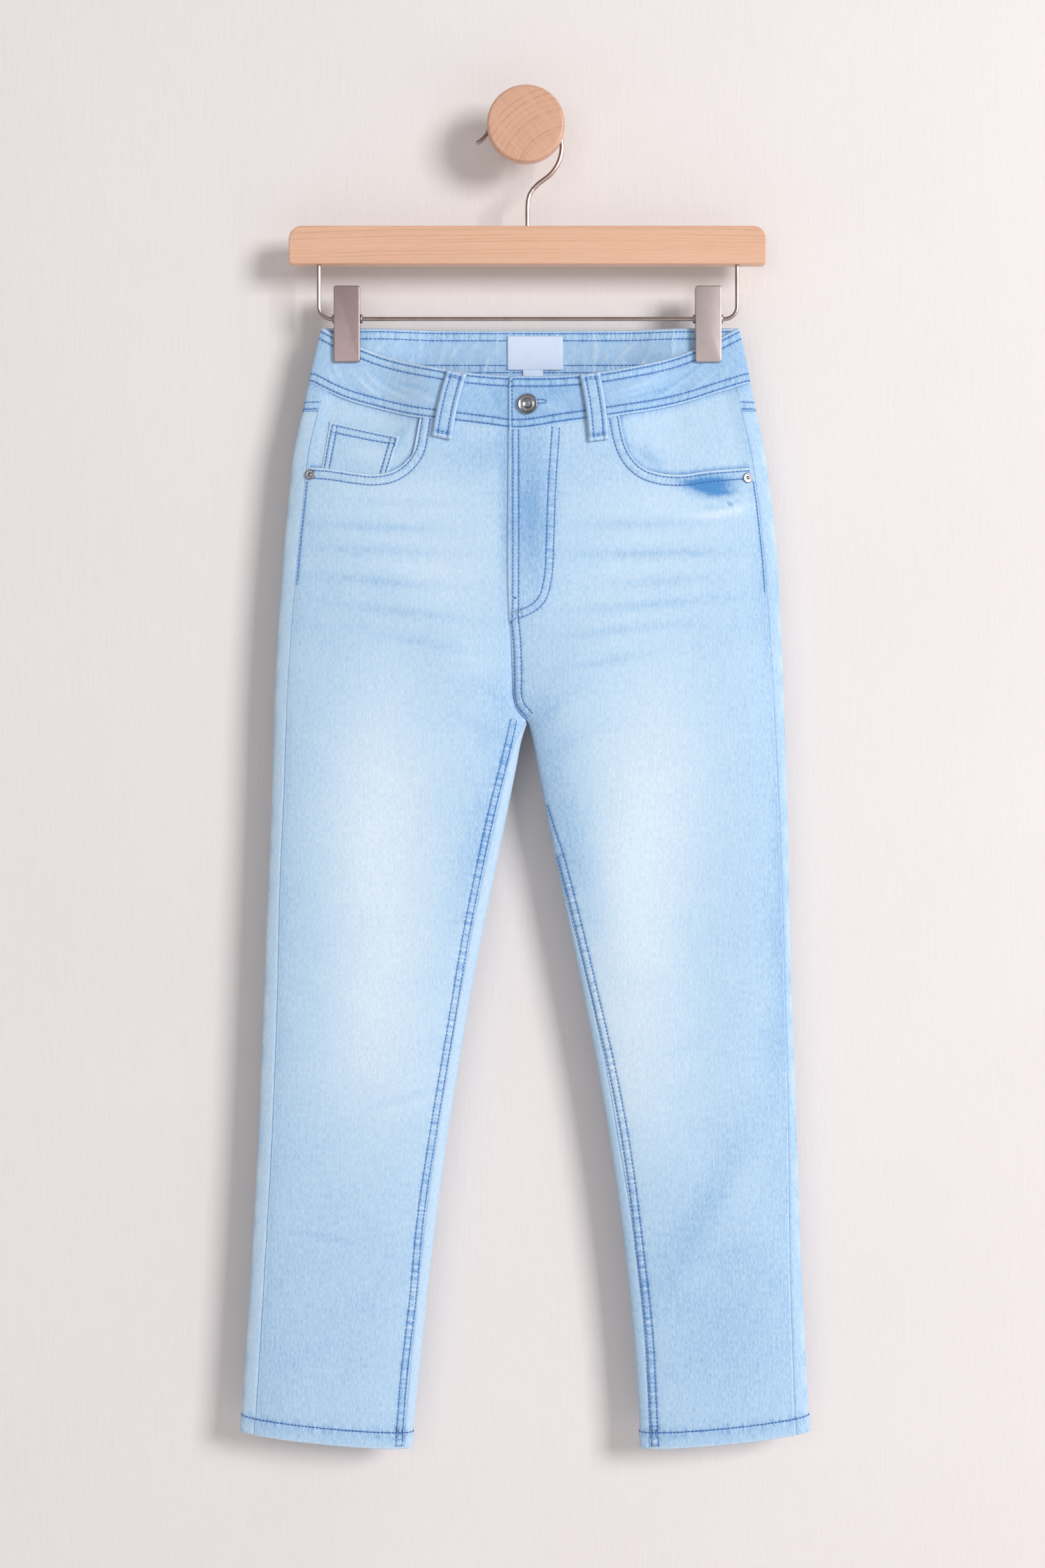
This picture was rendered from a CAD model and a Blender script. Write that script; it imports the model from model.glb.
"""The looks of a pair of capri jeans, clipped to a wooden hanger that hangs on a round wall knob.

Metres, +Z up, the wall is the plane y = 0 and the garment's front faces -Y. Left and right are the
wearer's, so the wearer's left is +X. Tables and outlines are written in millimetres.
"""

import math
from functools import partial

import bpy
import numpy as np
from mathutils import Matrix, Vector


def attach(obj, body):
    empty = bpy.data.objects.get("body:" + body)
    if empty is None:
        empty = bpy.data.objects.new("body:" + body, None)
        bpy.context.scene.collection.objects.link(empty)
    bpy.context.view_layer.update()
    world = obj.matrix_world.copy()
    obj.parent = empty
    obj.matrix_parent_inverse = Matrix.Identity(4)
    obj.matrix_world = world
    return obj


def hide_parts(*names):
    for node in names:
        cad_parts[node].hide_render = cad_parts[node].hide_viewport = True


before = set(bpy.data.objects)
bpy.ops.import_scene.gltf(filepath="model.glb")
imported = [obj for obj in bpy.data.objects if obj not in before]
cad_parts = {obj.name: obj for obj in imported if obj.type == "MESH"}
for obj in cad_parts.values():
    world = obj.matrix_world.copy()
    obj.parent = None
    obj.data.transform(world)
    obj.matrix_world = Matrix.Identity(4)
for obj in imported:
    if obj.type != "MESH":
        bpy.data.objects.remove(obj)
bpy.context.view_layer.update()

# ---------------------------------------------------------------------------------------------------
# The room: a matt plastered wall and floor in a pale warm white, one large soft light from the upper
# right, and a camera level with the middle of the jeans, 2 m in front of them.

MM = 0.001
CAMERA_PLACE = (-2.7 * MM, -2.045, -527.5 * MM)
VIEW_HEIGHT, VIEW_DISTANCE = 1.2583, 2.0  # what the picture's height covers at this distance
SENSOR = 36  # mm, the picture's long side
LIGHT_AIM = (0, 0, -0.5)


def linear(code):
    """An sRGB hex value as linear red, green, blue and alpha."""
    parts = [int(code[i : i + 2], 16) / 255 for i in (1, 3, 5)]
    return (*(c / 12.92 if c <= 0.04045 else ((c + 0.055) / 1.055) ** 2.4 for c in parts), 1)


def connect(node, inputs):
    """Fills a node's inputs, by name or number: with a value, an output, or a node's first output."""
    for socket, value in inputs.items():
        if isinstance(value, bpy.types.Node):
            value = next(output for output in value.outputs if output.enabled)
        if isinstance(value, bpy.types.NodeSocket):
            node.id_data.links.new(value, node.inputs[socket])
        else:
            node.inputs[socket].default_value = value


def add_node(tree, kind, inputs=None, **settings):
    """A shader node with its settings and its inputs."""
    made = tree.nodes.new("ShaderNode" + kind)
    for name, value in settings.items():
        setattr(made, name, value)
    connect(made, inputs or {})
    return made


def new_material(name, **shader_values):
    """A material, its own way to add a node, and its shader, with constant values on its sockets."""
    material = bpy.data.materials.new(name)
    material.use_nodes = True
    shader = material.node_tree.nodes["Principled BSDF"]
    connect(shader, {socket.replace("_", " "): value for socket, value in shader_values.items()})
    return material, partial(add_node, material.node_tree), shader


def plaster():
    """Matt emulsion on lightly rolled plaster: faint clouds and a fine upright grain. Seen from behind
    the wall is clear, so that the back of the jeans can be looked at, and lit for that view only."""
    material, node, shader = new_material(
        "matt_emulsion_on_plaster", Roughness=0.9, Specular_IOR_Level=0.2
    )
    place = node("TexCoord").outputs["Object"]
    cloud = node("TexNoise", {"Vector": place, "Scale": 3.5, "Detail": 4.0})
    tone = node("Mix", {0: cloud, 6: linear("#E8E3E3"), 7: linear("#EFEBEB")}, data_type="RGBA")
    drawn = node("Mapping", {"Vector": place, "Scale": (1, 1, 0.16)})
    grain = node("TexNoise", {"Vector": drawn, "Scale": 300.0, "Detail": 4.0})
    roller = node("TexNoise", {"Vector": place, "Scale": 60.0, "Detail": 3.0})
    height = node("Math", {0: roller, 1: 1.2, 2: grain}, operation="MULTIPLY_ADD")
    bump = node("Bump", {"Strength": 0.5, "Distance": 0.5 * MM, "Height": height})
    connect(shader, {"Base Color": tone, "Normal": bump})
    path = node("LightPath").outputs
    direct = node("Math", {0: path["Ray Depth"], 1: 1.5}, operation="LESS_THAN")
    to_light = node("Math", {0: direct, 1: path["Is Shadow Ray"]}, operation="MULTIPLY")
    seen_behind = node("NewGeometry").outputs["Backfacing"]
    behind = node("Math", {0: to_light, 1: seen_behind}, operation="MAXIMUM")
    clear = node("BsdfTransparent")
    either = node("MixShader", {0: behind, 1: shader, 2: clear})
    connect(material.node_tree.nodes["Material Output"], {"Surface": either})
    return material


def stand(thing, place=(0, 0, 0)):
    """Puts an object into the scene, at its place."""
    bpy.context.scene.collection.objects.link(thing)
    thing.location = place
    return thing


def flat_board(name, corners, material):
    """A flat side of the room, which is stage and no part of the object."""
    mesh = bpy.data.meshes.new(name)
    mesh.from_pydata(corners, [], [range(4)])
    mesh.materials.append(material)
    stand(bpy.data.objects.new(name, mesh))


WALL_Y, FLOOR_Z, WALL_TOP, ROOM = 0.4 * MM, -1.6, 2.2, 4.0
wall_paint = plaster()
corners = ((-ROOM, FLOOR_Z), (ROOM, FLOOR_Z), (ROOM, WALL_TOP), (-ROOM, WALL_TOP))
flat_board("wall", [(x, WALL_Y, z) for x, z in corners], wall_paint)
corners = ((-ROOM, -ROOM), (ROOM, -ROOM), (ROOM, ROOM), (-ROOM, ROOM))
flat_board("floor", [(x, y, FLOOR_Z) for x, y in corners], wall_paint)


def soft_light(name, place, size, watts, tint):
    """A square area light that looks from its place at the middle of the jeans."""
    data = bpy.data.lights.new(name, "AREA")
    data.size, data.energy, data.color = size, watts, linear(tint)[:3]
    light = stand(bpy.data.objects.new(name, data), place)
    light.rotation_euler = (Vector(LIGHT_AIM) - Vector(place)).to_track_quat("-Z", "Y").to_euler()


soft_light("key", (2.9, -3.7, 0.6), 1.5, 150, "#FFFDFC")
soft_light("fill", (-0.9, -3.6, -0.2), 1.8, 16, "#FBFAF8")
soft_light("behind", (0.5, 3.0, 0.2), 2.2, 44, "#FFFFFF")

world = bpy.data.worlds.new("room")
bpy.context.scene.world = world
world.use_nodes = True
connect(world.node_tree.nodes["Background"], {"Color": linear("#F6F3F0"), "Strength": 0.32})

camera = stand(bpy.data.objects.new("camera", bpy.data.cameras.new("camera")), CAMERA_PLACE)
camera.rotation_euler = (math.pi / 2, 0, 0)
camera.data.sensor_width = SENSOR
camera.data.lens = SENSOR * VIEW_DISTANCE / VIEW_HEIGHT
bpy.context.scene.camera = camera
bpy.context.scene.view_settings.view_transform = "Standard"

# ---------------------------------------------------------------------------------------------------
# The wall knob, a disc on a stem turned from one piece of maple and sealed with a satin varnish. Its
# face is cut across a curved grain.


def place_piece(name, points, faces, material, sharp=None):
    """A smooth mesh as a piece of the object, which rides on its one body. Edges that turn by more
    than the sharp angle, in degrees, stay crisp."""
    mesh = bpy.data.meshes.new(name)
    mesh.from_pydata(points.tolist(), [], faces)
    mesh.materials.append(material)
    mesh.shade_smooth()
    if sharp:
        mesh.set_sharp_from_angle(angle=math.radians(sharp))
    piece = stand(bpy.data.objects.new(name, mesh))
    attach(piece, "root")
    return piece


def walls(number):
    """The quads between each two rings of points, by the points' numbers, rings by steps."""
    after = np.roll(number, -1, axis=1)
    return np.stack([number[:-1], after[:-1], after[1:], number[1:]], axis=-1).reshape(-1, 4).tolist()


def leaned(points, lean, place):
    """Points turned by an angle about the upright and moved to their place."""
    cosine, sine = math.cos(lean), math.sin(lean)
    return points @ np.array([[cosine, sine, 0], [-sine, cosine, 0], [0, 0, 1]]) + np.array(place)


def stand_for(node):
    """The piece takes the place and the slot of a solid of the frame."""
    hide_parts(node)


def bell_node(node, value, width):
    """1 where the value is 0, falling off smoothly to both sides within about this width."""
    squared = node("Math", {0: value, 1: 2.0}, operation="POWER")
    scaled = node("Math", {0: squared, 1: -1 / width**2}, operation="MULTIPLY")
    return node("Math", {0: scaled}, operation="EXPONENT")


def clear_maple(name, ring_centre, pore_turn, sway, pale, mid, dark):
    """Satin varnished maple: growth rings as fine dark lines, unevenly spaced, round a line that runs
    along Y outside the piece, and between them short pores that lie the same way."""
    material, node, shader = new_material(name, Roughness=0.42, Coat_Weight=0.18, Coat_Roughness=0.3)
    place = node("TexCoord").outputs["Object"]
    drift = node("TexNoise", {"Vector": place, "Scale": 11.0, "Detail": 2.0})
    wander = node("Mix", {0: sway, 4: place, 5: drift.outputs["Color"]}, data_type="VECTOR")
    away = node("VectorMath", {0: wander, 1: ring_centre}, operation="SUBTRACT")
    flat = node("VectorMath", {0: away, 1: (1, 0, 1)}, operation="MULTIPLY")
    radius = node("VectorMath", {0: flat}, operation="LENGTH").outputs["Value"]
    rings = node(
        "TexNoise",
        {"W": radius, "Scale": 1 / (5.0 * MM), "Detail": 2.0, "Roughness": 0.6},
        noise_dimensions="1D",
    )
    off_line = node("Math", {0: rings, 1: 0.5}, operation="SUBTRACT")
    line = bell_node(node, off_line, 0.020)
    along = node("Mapping", {"Vector": wander, "Rotation": (0, pore_turn, 0)})
    short = node("Mapping", {"Vector": along, "Scale": (0.05, 1, 1)})
    pores = node("TexNoise", {"Vector": short, "Scale": 1300.0, "Detail": 3.0})
    cloud = node("TexNoise", {"Vector": short, "Scale": 130.0, "Detail": 3.0})
    base = node("Mix", {0: cloud, 6: linear(pale), 7: linear(mid)}, data_type="RGBA")
    spread = node("MapRange", {"Value": pores, 1: 0.5, 2: 0.85, 3: 0, 4: 0.42})
    broken = node("MapRange", {"Value": cloud, 1: 0.3, 2: 0.62, 3: 0.08, 4: 0.5})
    much = node("Math", {0: line, 1: broken, 2: spread}, operation="MULTIPLY_ADD", use_clamp=True)
    grained = node("Mix", {0: much, 6: base, 7: linear(dark)}, data_type="RGBA")
    bump = node("Bump", {"Strength": 0.10, "Distance": 0.1 * MM, "Height": pores})
    connect(shader, {"Base Color": grained, "Normal": bump})
    return material


def turned(name, profile, steps, material, place=(0, 0, 0), lean=0.0, sharp=None):
    """A turned piece about an axis that points at the viewer: a profile of radius and how far out,
    drawn round in even steps and closed by a point at each end."""
    radius, out = np.array(profile).T
    angle = np.arange(steps) * 2 * math.pi / steps
    ring = np.stack(
        [
            radius[1:-1, None] * np.cos(angle),
            np.broadcast_to(-out[1:-1, None], (len(radius) - 2, steps)),
            radius[1:-1, None] * np.sin(angle),
        ],
        axis=-1,
    ).reshape(-1, 3)
    points = np.concatenate([[[0, -out[0], 0]], ring, [[0, -out[-1], 0]]])
    number = 1 + np.arange((len(radius) - 2) * steps).reshape(-1, steps)
    after = np.roll(number, -1, axis=1)
    first = np.stack([np.zeros(steps, int), after[0], number[0]], axis=-1)
    last = np.stack([np.full(steps, len(points) - 1), number[-1], after[-1]], axis=-1)
    faces = walls(number) + first.tolist() + last.tolist()
    return place_piece(name, leaned(points, lean, place), faces, material, sharp)


def arc(centre, radius, start, end, count):
    """Points on a circle between two angles in degrees."""
    angles = np.radians(np.linspace(start, end, count))
    return [(centre[0] + radius * math.cos(a), centre[1] + radius * math.sin(a)) for a in angles]


KNOB_RADIUS, KNOB_FACE, KNOB_BACK = 31.1 * MM, 57 * MM, 45 * MM
KNOB_ROUNDING, STEM_RADIUS = 2.6 * MM, 14.2 * MM
knob_maple = clear_maple(
    "satin_maple_knob", (41 * MM, 0, -46 * MM), math.radians(-48), 0.006, "#DDB096", "#D4A389", "#AC7359"
)
edge = KNOB_ROUNDING
knob_profile = [(0, KNOB_FACE), (KNOB_RADIUS * 0.6, KNOB_FACE)]
knob_profile += arc((KNOB_RADIUS - edge, KNOB_FACE - edge), edge, 90, 0, 9)
knob_profile += arc((KNOB_RADIUS - edge, KNOB_BACK + edge), edge, 0, -90, 9)
knob_profile += arc((STEM_RADIUS + 3 * MM, KNOB_BACK - 3 * MM), 3 * MM, 90, 180, 6)
knob_profile += [(STEM_RADIUS, 0.05 * MM), (0, 0.05 * MM)]
knob = turned("wall_knob_maple", knob_profile, 128, knob_maple, sharp=50)
stand_for("wall_knob")

# ---------------------------------------------------------------------------------------------------
# The hanger: a planed maple bar with rounded upper corners, a hook and a clip rail of hard round wire,
# plated with satin nickel. All three solids keep their shapes and get their materials here.


def satin_nickel(name, dark, pale, roughness):
    """Nickel plate, tumbled to a satin: smudged by soft clouds, with fine drawn scratches."""
    material, node, shader = new_material(name, Metallic=1.0, Roughness=roughness)
    place = node("TexCoord").outputs["Object"]
    cloud = node("TexNoise", {"Vector": place, "Scale": 120.0, "Detail": 3.0})
    tone = node("Mix", {0: cloud, 6: linear(dark), 7: linear(pale)}, data_type="RGBA")
    grain = node("TexNoise", {"Vector": place, "Scale": 2600.0, "Detail": 2.0})
    rough = node("MapRange", {"Value": grain, 3: roughness - 0.06, 4: roughness + 0.08})
    bump = node("Bump", {"Strength": 0.08, "Distance": 0.05 * MM, "Height": grain})
    connect(shader, {"Base Color": tone, "Roughness": rough, "Normal": bump})
    return material


def dress(node, material):
    """A solid of the frame, with its own shape and a new material."""
    solid = bpy.data.objects[node]
    solid.data.materials.clear()
    solid.data.materials.append(material)
    return solid


bar_maple = clear_maple(
    "satin_maple_bar", (0.05, 0, -7.0), math.radians(0.4), 0.002, "#E8BB9F", "#DFB093", "#C4906F"
)
wire_nickel = satin_nickel("satin_nickel_wire", "#9A8882", "#BCACA6", 0.36)
dress("hanger_bar", bar_maple)
dress("hanger_hook", wire_nickel)
dress("clip_rail", wire_nickel)

# ---------------------------------------------------------------------------------------------------
# Two spring clips: each is a pair of pressed steel jaws that turn on the rail, with rolled-in edges,
# satin nickel plated, and a coil spring between their ears.

CLIP_X = {"clip_right": -143.8 * MM, "clip_left": 146.7 * MM}
MIDDLE_Y, RAIL_Z = -38 * MM, -153 * MM
SPRING_RADIUS, SPRING_WIRE, SPRING_HALF, SPRING_TURNS = 2.5 * MM, 0.42 * MM, 6.6 * MM, 13
plate_nickel = {
    "clip_right": satin_nickel("satin_nickel_plate", "#A69394", "#B6A2A3", 0.36),
    "clip_left": satin_nickel("paler_satin_nickel_plate", "#B8ABAA", "#C6B9B8", 0.36),
}
spring_steel = satin_nickel("bright_spring_steel", "#A39A95", "#CFC8C4", 0.22)


def unit(vectors):
    """Each vector, brought to the length 1."""
    return vectors / np.linalg.norm(vectors, axis=-1, keepdims=True)


def circle(across, up, sides):
    """The points of a circle of radius 1, round each place, in the plane of two directions."""
    angle = np.arange(sides) * 2 * math.pi / sides
    return across[..., None, :] * np.cos(angle)[:, None] + up[..., None, :] * np.sin(angle)[:, None]


def closed_rings(count, steps):
    """The faces of rings of points that are joined by walls and closed by the first and the last."""
    number = np.arange(count).reshape(-1, steps)
    return walls(number) + [number[0, ::-1].tolist(), number[-1].tolist()]


def tube(name, path, radius, sides, material):
    """A round wire along a path, closed at both ends."""
    along = unit(np.gradient(path, axis=0))
    across = unit(np.cross(along, [0.0, 0.3, 1.0]))
    ring = circle(across, np.cross(across, along), sides)
    points = (path[:, None] + radius * ring).reshape(-1, 3)
    return place_piece(name, points, closed_rings(len(points), sides), material)


def pressed_plate(name, middle, half_width, half_height, corner, profile, material):
    """A pressed plate that faces the viewer: rounded rectangles, each set in from the edge and moved
    out by a row of the profile, joined by walls and closed by the last and first."""
    angle = np.radians(np.linspace(0, 90, 7))
    rings = []
    for inset, out in profile:
        radius = max(corner - inset, 0.05 * MM)
        ring = []
        for quarter, (right, up) in enumerate(((1, 1), (-1, 1), (-1, -1), (1, -1))):
            turned_by = angle + quarter * math.pi / 2
            across = right * (half_width - inset - radius) + radius * np.cos(turned_by)
            rise = up * (half_height - inset - radius) + radius * np.sin(turned_by)
            ring.append(np.stack([across, np.full(across.shape, -out), rise], axis=1))
        rings.append(np.concatenate(ring))
    points = np.concatenate(rings) + np.array(middle)
    return place_piece(name, points, closed_rings(len(points), len(rings[0])), material, 40)


# how far each ring of the front plate is set in from its edge, and how far it stands out of the
# middle plane: a hollow back, and a front edge rolled to a radius
PLATE_BACK, PLATE_FRONT, PLATE_ROLL = 3.85 * MM, 7.3 * MM, 0.9 * MM
PLATE_HALF, PLATE_CORNER, PLATE_MIDDLE_Z = (10.6 * MM, 30.7 * MM), 2.0 * MM, -158.1 * MM
plate_profile = [(2 * MM, 5.4 * MM), (1.1 * MM, 5.4 * MM), (1.1 * MM, PLATE_BACK)]
plate_profile += [(0.3 * MM, PLATE_BACK), (0, PLATE_BACK + 0.3 * MM)]
plate_profile += [
    (PLATE_ROLL - away, out) for away, out in arc((0, PLATE_FRONT - PLATE_ROLL), PLATE_ROLL, 0, 90, 6)
]
EAR_X, EAR_RADIUS = (10.0 * MM, 12.1 * MM), 3.6 * MM

for clip, x in CLIP_X.items():
    jaw = dress(clip + "_back_jaw", plate_nickel[clip])
    weld = jaw.modifiers.new("Weld", "WELD")
    weld.merge_threshold = 0.01 * MM
    rounded = jaw.modifiers.new("Rolled edges", "BEVEL")
    rounded.width = 0.55 * MM
    rounded.segments = 3
    rounded.angle_limit = math.radians(40)
    middle = (x, MIDDLE_Y, PLATE_MIDDLE_Z)
    plate = pressed_plate(
        clip + "_front_plate", middle, *PLATE_HALF, PLATE_CORNER, plate_profile, plate_nickel[clip]
    )
    for end in (-1, 1):
        path = [(x + end * out, MIDDLE_Y, RAIL_Z) for out in np.linspace(*EAR_X, 3)]
        name = clip + ("_ear_out" if end * x > 0 else "_ear_in")
        ear = tube(name, np.array(path), EAR_RADIUS, 24, plate_nickel[clip])
    stand_for(clip + "_front_jaw")
    turn = np.linspace(0, 2 * math.pi * SPRING_TURNS, SPRING_TURNS * 18)
    coil = np.stack(
        [
            x + np.linspace(-SPRING_HALF, SPRING_HALF, len(turn)),
            MIDDLE_Y + SPRING_RADIUS * np.cos(turn),
            RAIL_Z + SPRING_RADIUS * np.sin(turn),
        ],
        axis=1,
    )
    spring = tube(clip + "_coil", coil, SPRING_WIRE, 8, spring_steel)
    stand_for(clip + "_spring")

# ---------------------------------------------------------------------------------------------------
# The form of the jeans: a flattened tube that parts into two legs. It is cut and sewn from stretch
# denim, so the pieces below are all points of this one surface, moved out by the cloth's thickness,
# its seams and its creases. The tables and formulas are those of the solids.

WAIST_TOP = -161.5 * MM
WAIST_SEAM_SIDE = -205 * MM
FRONT_DIP, DIP_POWER = 41 * MM, 2.1
CROTCH_Z = -477 * MM
FORK_RISE, FORK_POWER = 110 * MM, 0.6
SECTION_POWER = 2.6
PINCH_DEPTH, PINCH_POWER, PINCH_MIDDLE_X = 3.0 * MM, 24, 3.5 * MM
PINCH_REACH, PINCH_FALL = (75 * MM, 124 * MM), (-290 * MM, -194 * MM)
BACK_EDGE_TURN = 1.94
YOKE_SIDE_Z, YOKE_CENTRE_Z = -228 * MM, -262 * MM
HEM_OUTER_Z, HEM_INNER_Z, HEM_SAG, HEM_HEIGHT = -1047 * MM, -1060.5 * MM, 2.5 * MM, 12.5 * MM
SIGN = {"right": -1, "left": 1}


def table(names, *rows):
    """A table's columns by name, in metres. The rows are written in millimetres."""
    return dict(zip(names.split(), np.array(sorted(rows), dtype=float).T * MM))


OUTER = table(
    "z right left",
    (-161.5, -164.6, 171.6),
    (-191.4, -171.8, 178.2),
    (-223.6, -178.8, 184.4),
    (-255.0, -186.0, 191.2),
    (-298.8, -191.1, 197.6),
    (-352.5, -196.0, 202.9),
    (-406.2, -199.7, 205.6),
    (-459.9, -202.4, 207.8),
    (-540.4, -204.6, 210.4),
    (-620.9, -208.0, 212.3),
    (-701.4, -211.0, 214.2),
    (-808.8, -215.3, 218.3),
    (-916.2, -221.2, 221.9),
    (-1000.0, -226.5, 226.0),
    (-1062.8, -230.9, 229.2),
)
INNER = table(
    "z right left",
    (-477.0, 1.3, 1.9),
    (-490.0, -2.9, 5.3),
    (-513.5, -7.6, 9.6),
    (-567.2, -18.3, 19.8),
    (-620.9, -29.2, 30.8),
    (-701.4, -45.1, 47.4),
    (-755.1, -54.2, 57.8),
    (-808.8, -62.8, 66.9),
    (-862.5, -70.3, 74.8),
    (-916.2, -77.0, 81.4),
    (-1000.0, -85.8, 89.2),
    (-1062.8, -92.4, 92.6),
)
CENTRE = table(
    "z x",
    (-161.5, -12.2),
    (-244.5, -12.2),
    (-397.8, -12.2),
    (-441.5, -10.7),
    (-459.2, -9.6),
    (-466.1, -7.6),
    (-471.5, -4.2),
    (-477.0, 1.6),
)
BULGE = table(
    "z front back",
    (-161.5, 14.5, 11.5),
    (-230.0, 16.5, 14.0),
    (-320.0, 17.0, 19.0),
    (-400.0, 16.5, 19.5),
    (-477.0, 15.0, 16.5),
    (-600.0, 13.0, 14.0),
    (-750.0, 12.0, 12.5),
    (-900.0, 11.0, 12.0),
    (-1062.8, 10.5, 10.5),
)
SEAMS = table(
    "z out_right out_left in_right in_left",
    (-161.5, 12.5, 12.5, 0.0, 0.0),
    (-280.0, 12.0, 11.2, 0.0, 0.0),
    (-366.0, 11.2, 10.4, 0.0, 0.0),
    (-477.0, 10.0, 8.0, 0.0, 0.0),
    (-500.0, 9.8, 7.6, 5.0, -0.6),
    (-546.0, 9.4, 6.8, 7.3, -0.6),
    (-596.0, 9.2, 5.9, 8.6, 0.4),
    (-700.0, 10.6, 5.2, 8.3, 5.3),
    (-808.0, 10.8, 6.6, 8.0, 6.2),
    (-914.0, 10.7, 9.0, 7.6, 8.0),
    (-1062.8, 11.5, 11.5, 6.0, 6.6),
)
WAIST_SEAM = table(
    "x drop",
    (-172.0, 0.0),
    (-143.7, 12.6),
    (-114.8, 21.0),
    (-86.3, 28.4),
    (-57.7, 32.8),
    (-28.9, 36.6),
    (-9.1, 39.2),
    (26.7, 34.4),
    (60.8, 29.4),
    (95.0, 23.6),
    (129.2, 15.0),
    (154.8, 7.0),
    (178.3, 0.0),
)
POCKET = {
    "right": table(
        "x z",
        (-173.6, -273.9),
        (-157.5, -275.5),
        (-136.2, -278.9),
        (-122.3, -280.3),
        (-106.3, -277.4),
        (-95.1, -269.1),
        (-89.2, -260.0),
        (-86.6, -248.0),
        (-84.4, -233.6),
    ),
    "left": table(
        "x z",
        (74.6, -233.0),
        (76.9, -246.5),
        (80.2, -258.0),
        (85.4, -267.2),
        (93.6, -274.8),
        (105.2, -279.2),
        (120.6, -280.8),
        (146.3, -277.6),
        (179.9, -274.4),
    ),
}
# Soft folds and creases, in millimetres and degrees: x and z of the middle, half the length and half
# the width, the height (a hollow is negative) and the angle of its line from level.
FRONT_FOLDS = (
    (-96, -335, 70, 26, -1.6, -38),
    (88, -345, 80, 26, -1.4, 36),
    (-52, -430, 55, 20, 1.3, -50),
    (46, -425, 60, 22, 1.4, 52),
    (-118, -560, 60, 30, -1.2, -20),
    (120, -590, 70, 30, -1.1, 24),
    (-150, -800, 48, 18, -1.3, 8),
    (-108, -772, 40, 16, 1.1, 14),
    (146, -815, 44, 18, -1.2, -10),
    (172, -880, 42, 16, 1.0, -16),
    (-170, -905, 46, 16, 1.0, -12),
    (132, -960, 50, 20, -0.9, 10),
)
BACK_FOLDS = (
    (-80, -452, 60, 18, -1.8, 12),
    (84, -455, 62, 18, -1.8, -14),
    (-104, -486, 55, 16, 1.5, 10),
    (108, -490, 52, 16, 1.4, -12),
    (-128, -760, 46, 18, -1.6, -10),
    (-140, -800, 44, 16, 1.4, 6),
    (134, -772, 48, 18, -1.6, 12),
    (146, -815, 42, 16, 1.3, -6),
    (-158, -900, 48, 18, -1.0, 8),
    (160, -925, 44, 18, -1.0, -8),
)
FRONT_CREASES = (
    # whiskers over the hips, which fan out from the crotch
    (96, -319, 52, 3.2, -0.30, 2),
    (104, -343, 56, 3.0, -0.32, 1),
    (112, -365, 44, 3.4, -0.22, 4),
    (100, -384, 60, 3.4, -0.30, 5),
    (84, -404, 46, 3.2, -0.28, 6),
    (72, -428, 40, 3.6, -0.22, 12),
    (-104, -302, 46, 3.4, -0.24, -2),
    (-118, -322, 50, 3.0, -0.30, -3),
    (-108, -341, 48, 3.2, -0.26, -2),
    (-112, -366, 56, 3.2, -0.30, -5),
    (-96, -390, 52, 3.6, -0.28, -7),
    (-82, -414, 44, 3.6, -0.24, -10),
    # short drag lines from the crotch and under the fly
    (-30, -452, 20, 4.0, -0.5, -38),
    (-40, -480, 26, 4.5, -0.5, -22),
    (28, -462, 22, 4.0, -0.5, 40),
    (40, -492, 28, 5.0, -0.45, 26),
    (-26, -510, 22, 4.0, 0.35, -30),
    # creases behind the knee that press through to the front
    (-103, -781, 22, 3.0, -0.85, 16),
    (-98, -787, 18, 2.4, 0.55, 18),
    (-164, -891, 32, 3.0, -0.80, -13),
    (-150, -897, 24, 2.2, 0.50, -10),
    (-130, -702, 26, 5.0, 0.35, -30),
    (118, -742, 30, 5.0, -0.35, 24),
    (150, -905, 26, 4.0, -0.40, 10),
    (186, -690, 20, 4.0, 0.30, -40),
    (-190, -640, 22, 4.0, 0.30, 44),
    (112, -1000, 24, 4.5, -0.35, -28),
    (-176, -985, 24, 4.5, -0.35, 24),
)
BACK_CREASES = (
    (-70, -470, 48, 4.5, -0.7, 14),
    (74, -474, 46, 4.5, -0.7, -12),
    (-96, -500, 40, 4.0, 0.5, 6),
    (100, -503, 42, 4.0, 0.5, -8),
    (-60, -440, 30, 4.0, -0.5, 26),
    (64, -442, 30, 4.0, -0.5, -24),
    (-130, -748, 34, 3.6, -0.7, -14),
    (-146, -778, 38, 3.4, -0.8, 3),
    (-132, -812, 34, 3.6, -0.7, 12),
    (136, -756, 36, 3.6, -0.7, 15),
    (148, -790, 36, 3.4, -0.8, -4),
    (136, -828, 32, 3.6, -0.6, -14),
    (-150, -880, 26, 4.0, -0.4, -18),
    (158, -900, 28, 4.0, -0.4, 16),
    (-120, -360, 30, 5.0, 0.5, 40),
    (126, -372, 30, 5.0, 0.5, -38),
)


def curve_at(places, values, place):
    """A smooth curve through values at rising places: cubic stretches whose slopes are those of the
    parabola through each three neighbours."""
    slopes = np.gradient(values, places)
    place = np.clip(place, places[0], places[-1])
    row = np.clip(np.searchsorted(places, place, side="right") - 1, 0, len(places) - 2)
    step = places[row + 1] - places[row]
    t = (place - places[row]) / step
    start = values[row] * (1 + 2 * t) + slopes[row] * step * t
    end = values[row + 1] * (3 - 2 * t) + slopes[row + 1] * step * (t - 1)
    return start * (1 - t) ** 2 + end * t**2


def read(columns, name, place):
    """A column of a table on a smooth curve, at places along the table's first column."""
    return curve_at(next(iter(columns.values())), columns[name], place)


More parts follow.
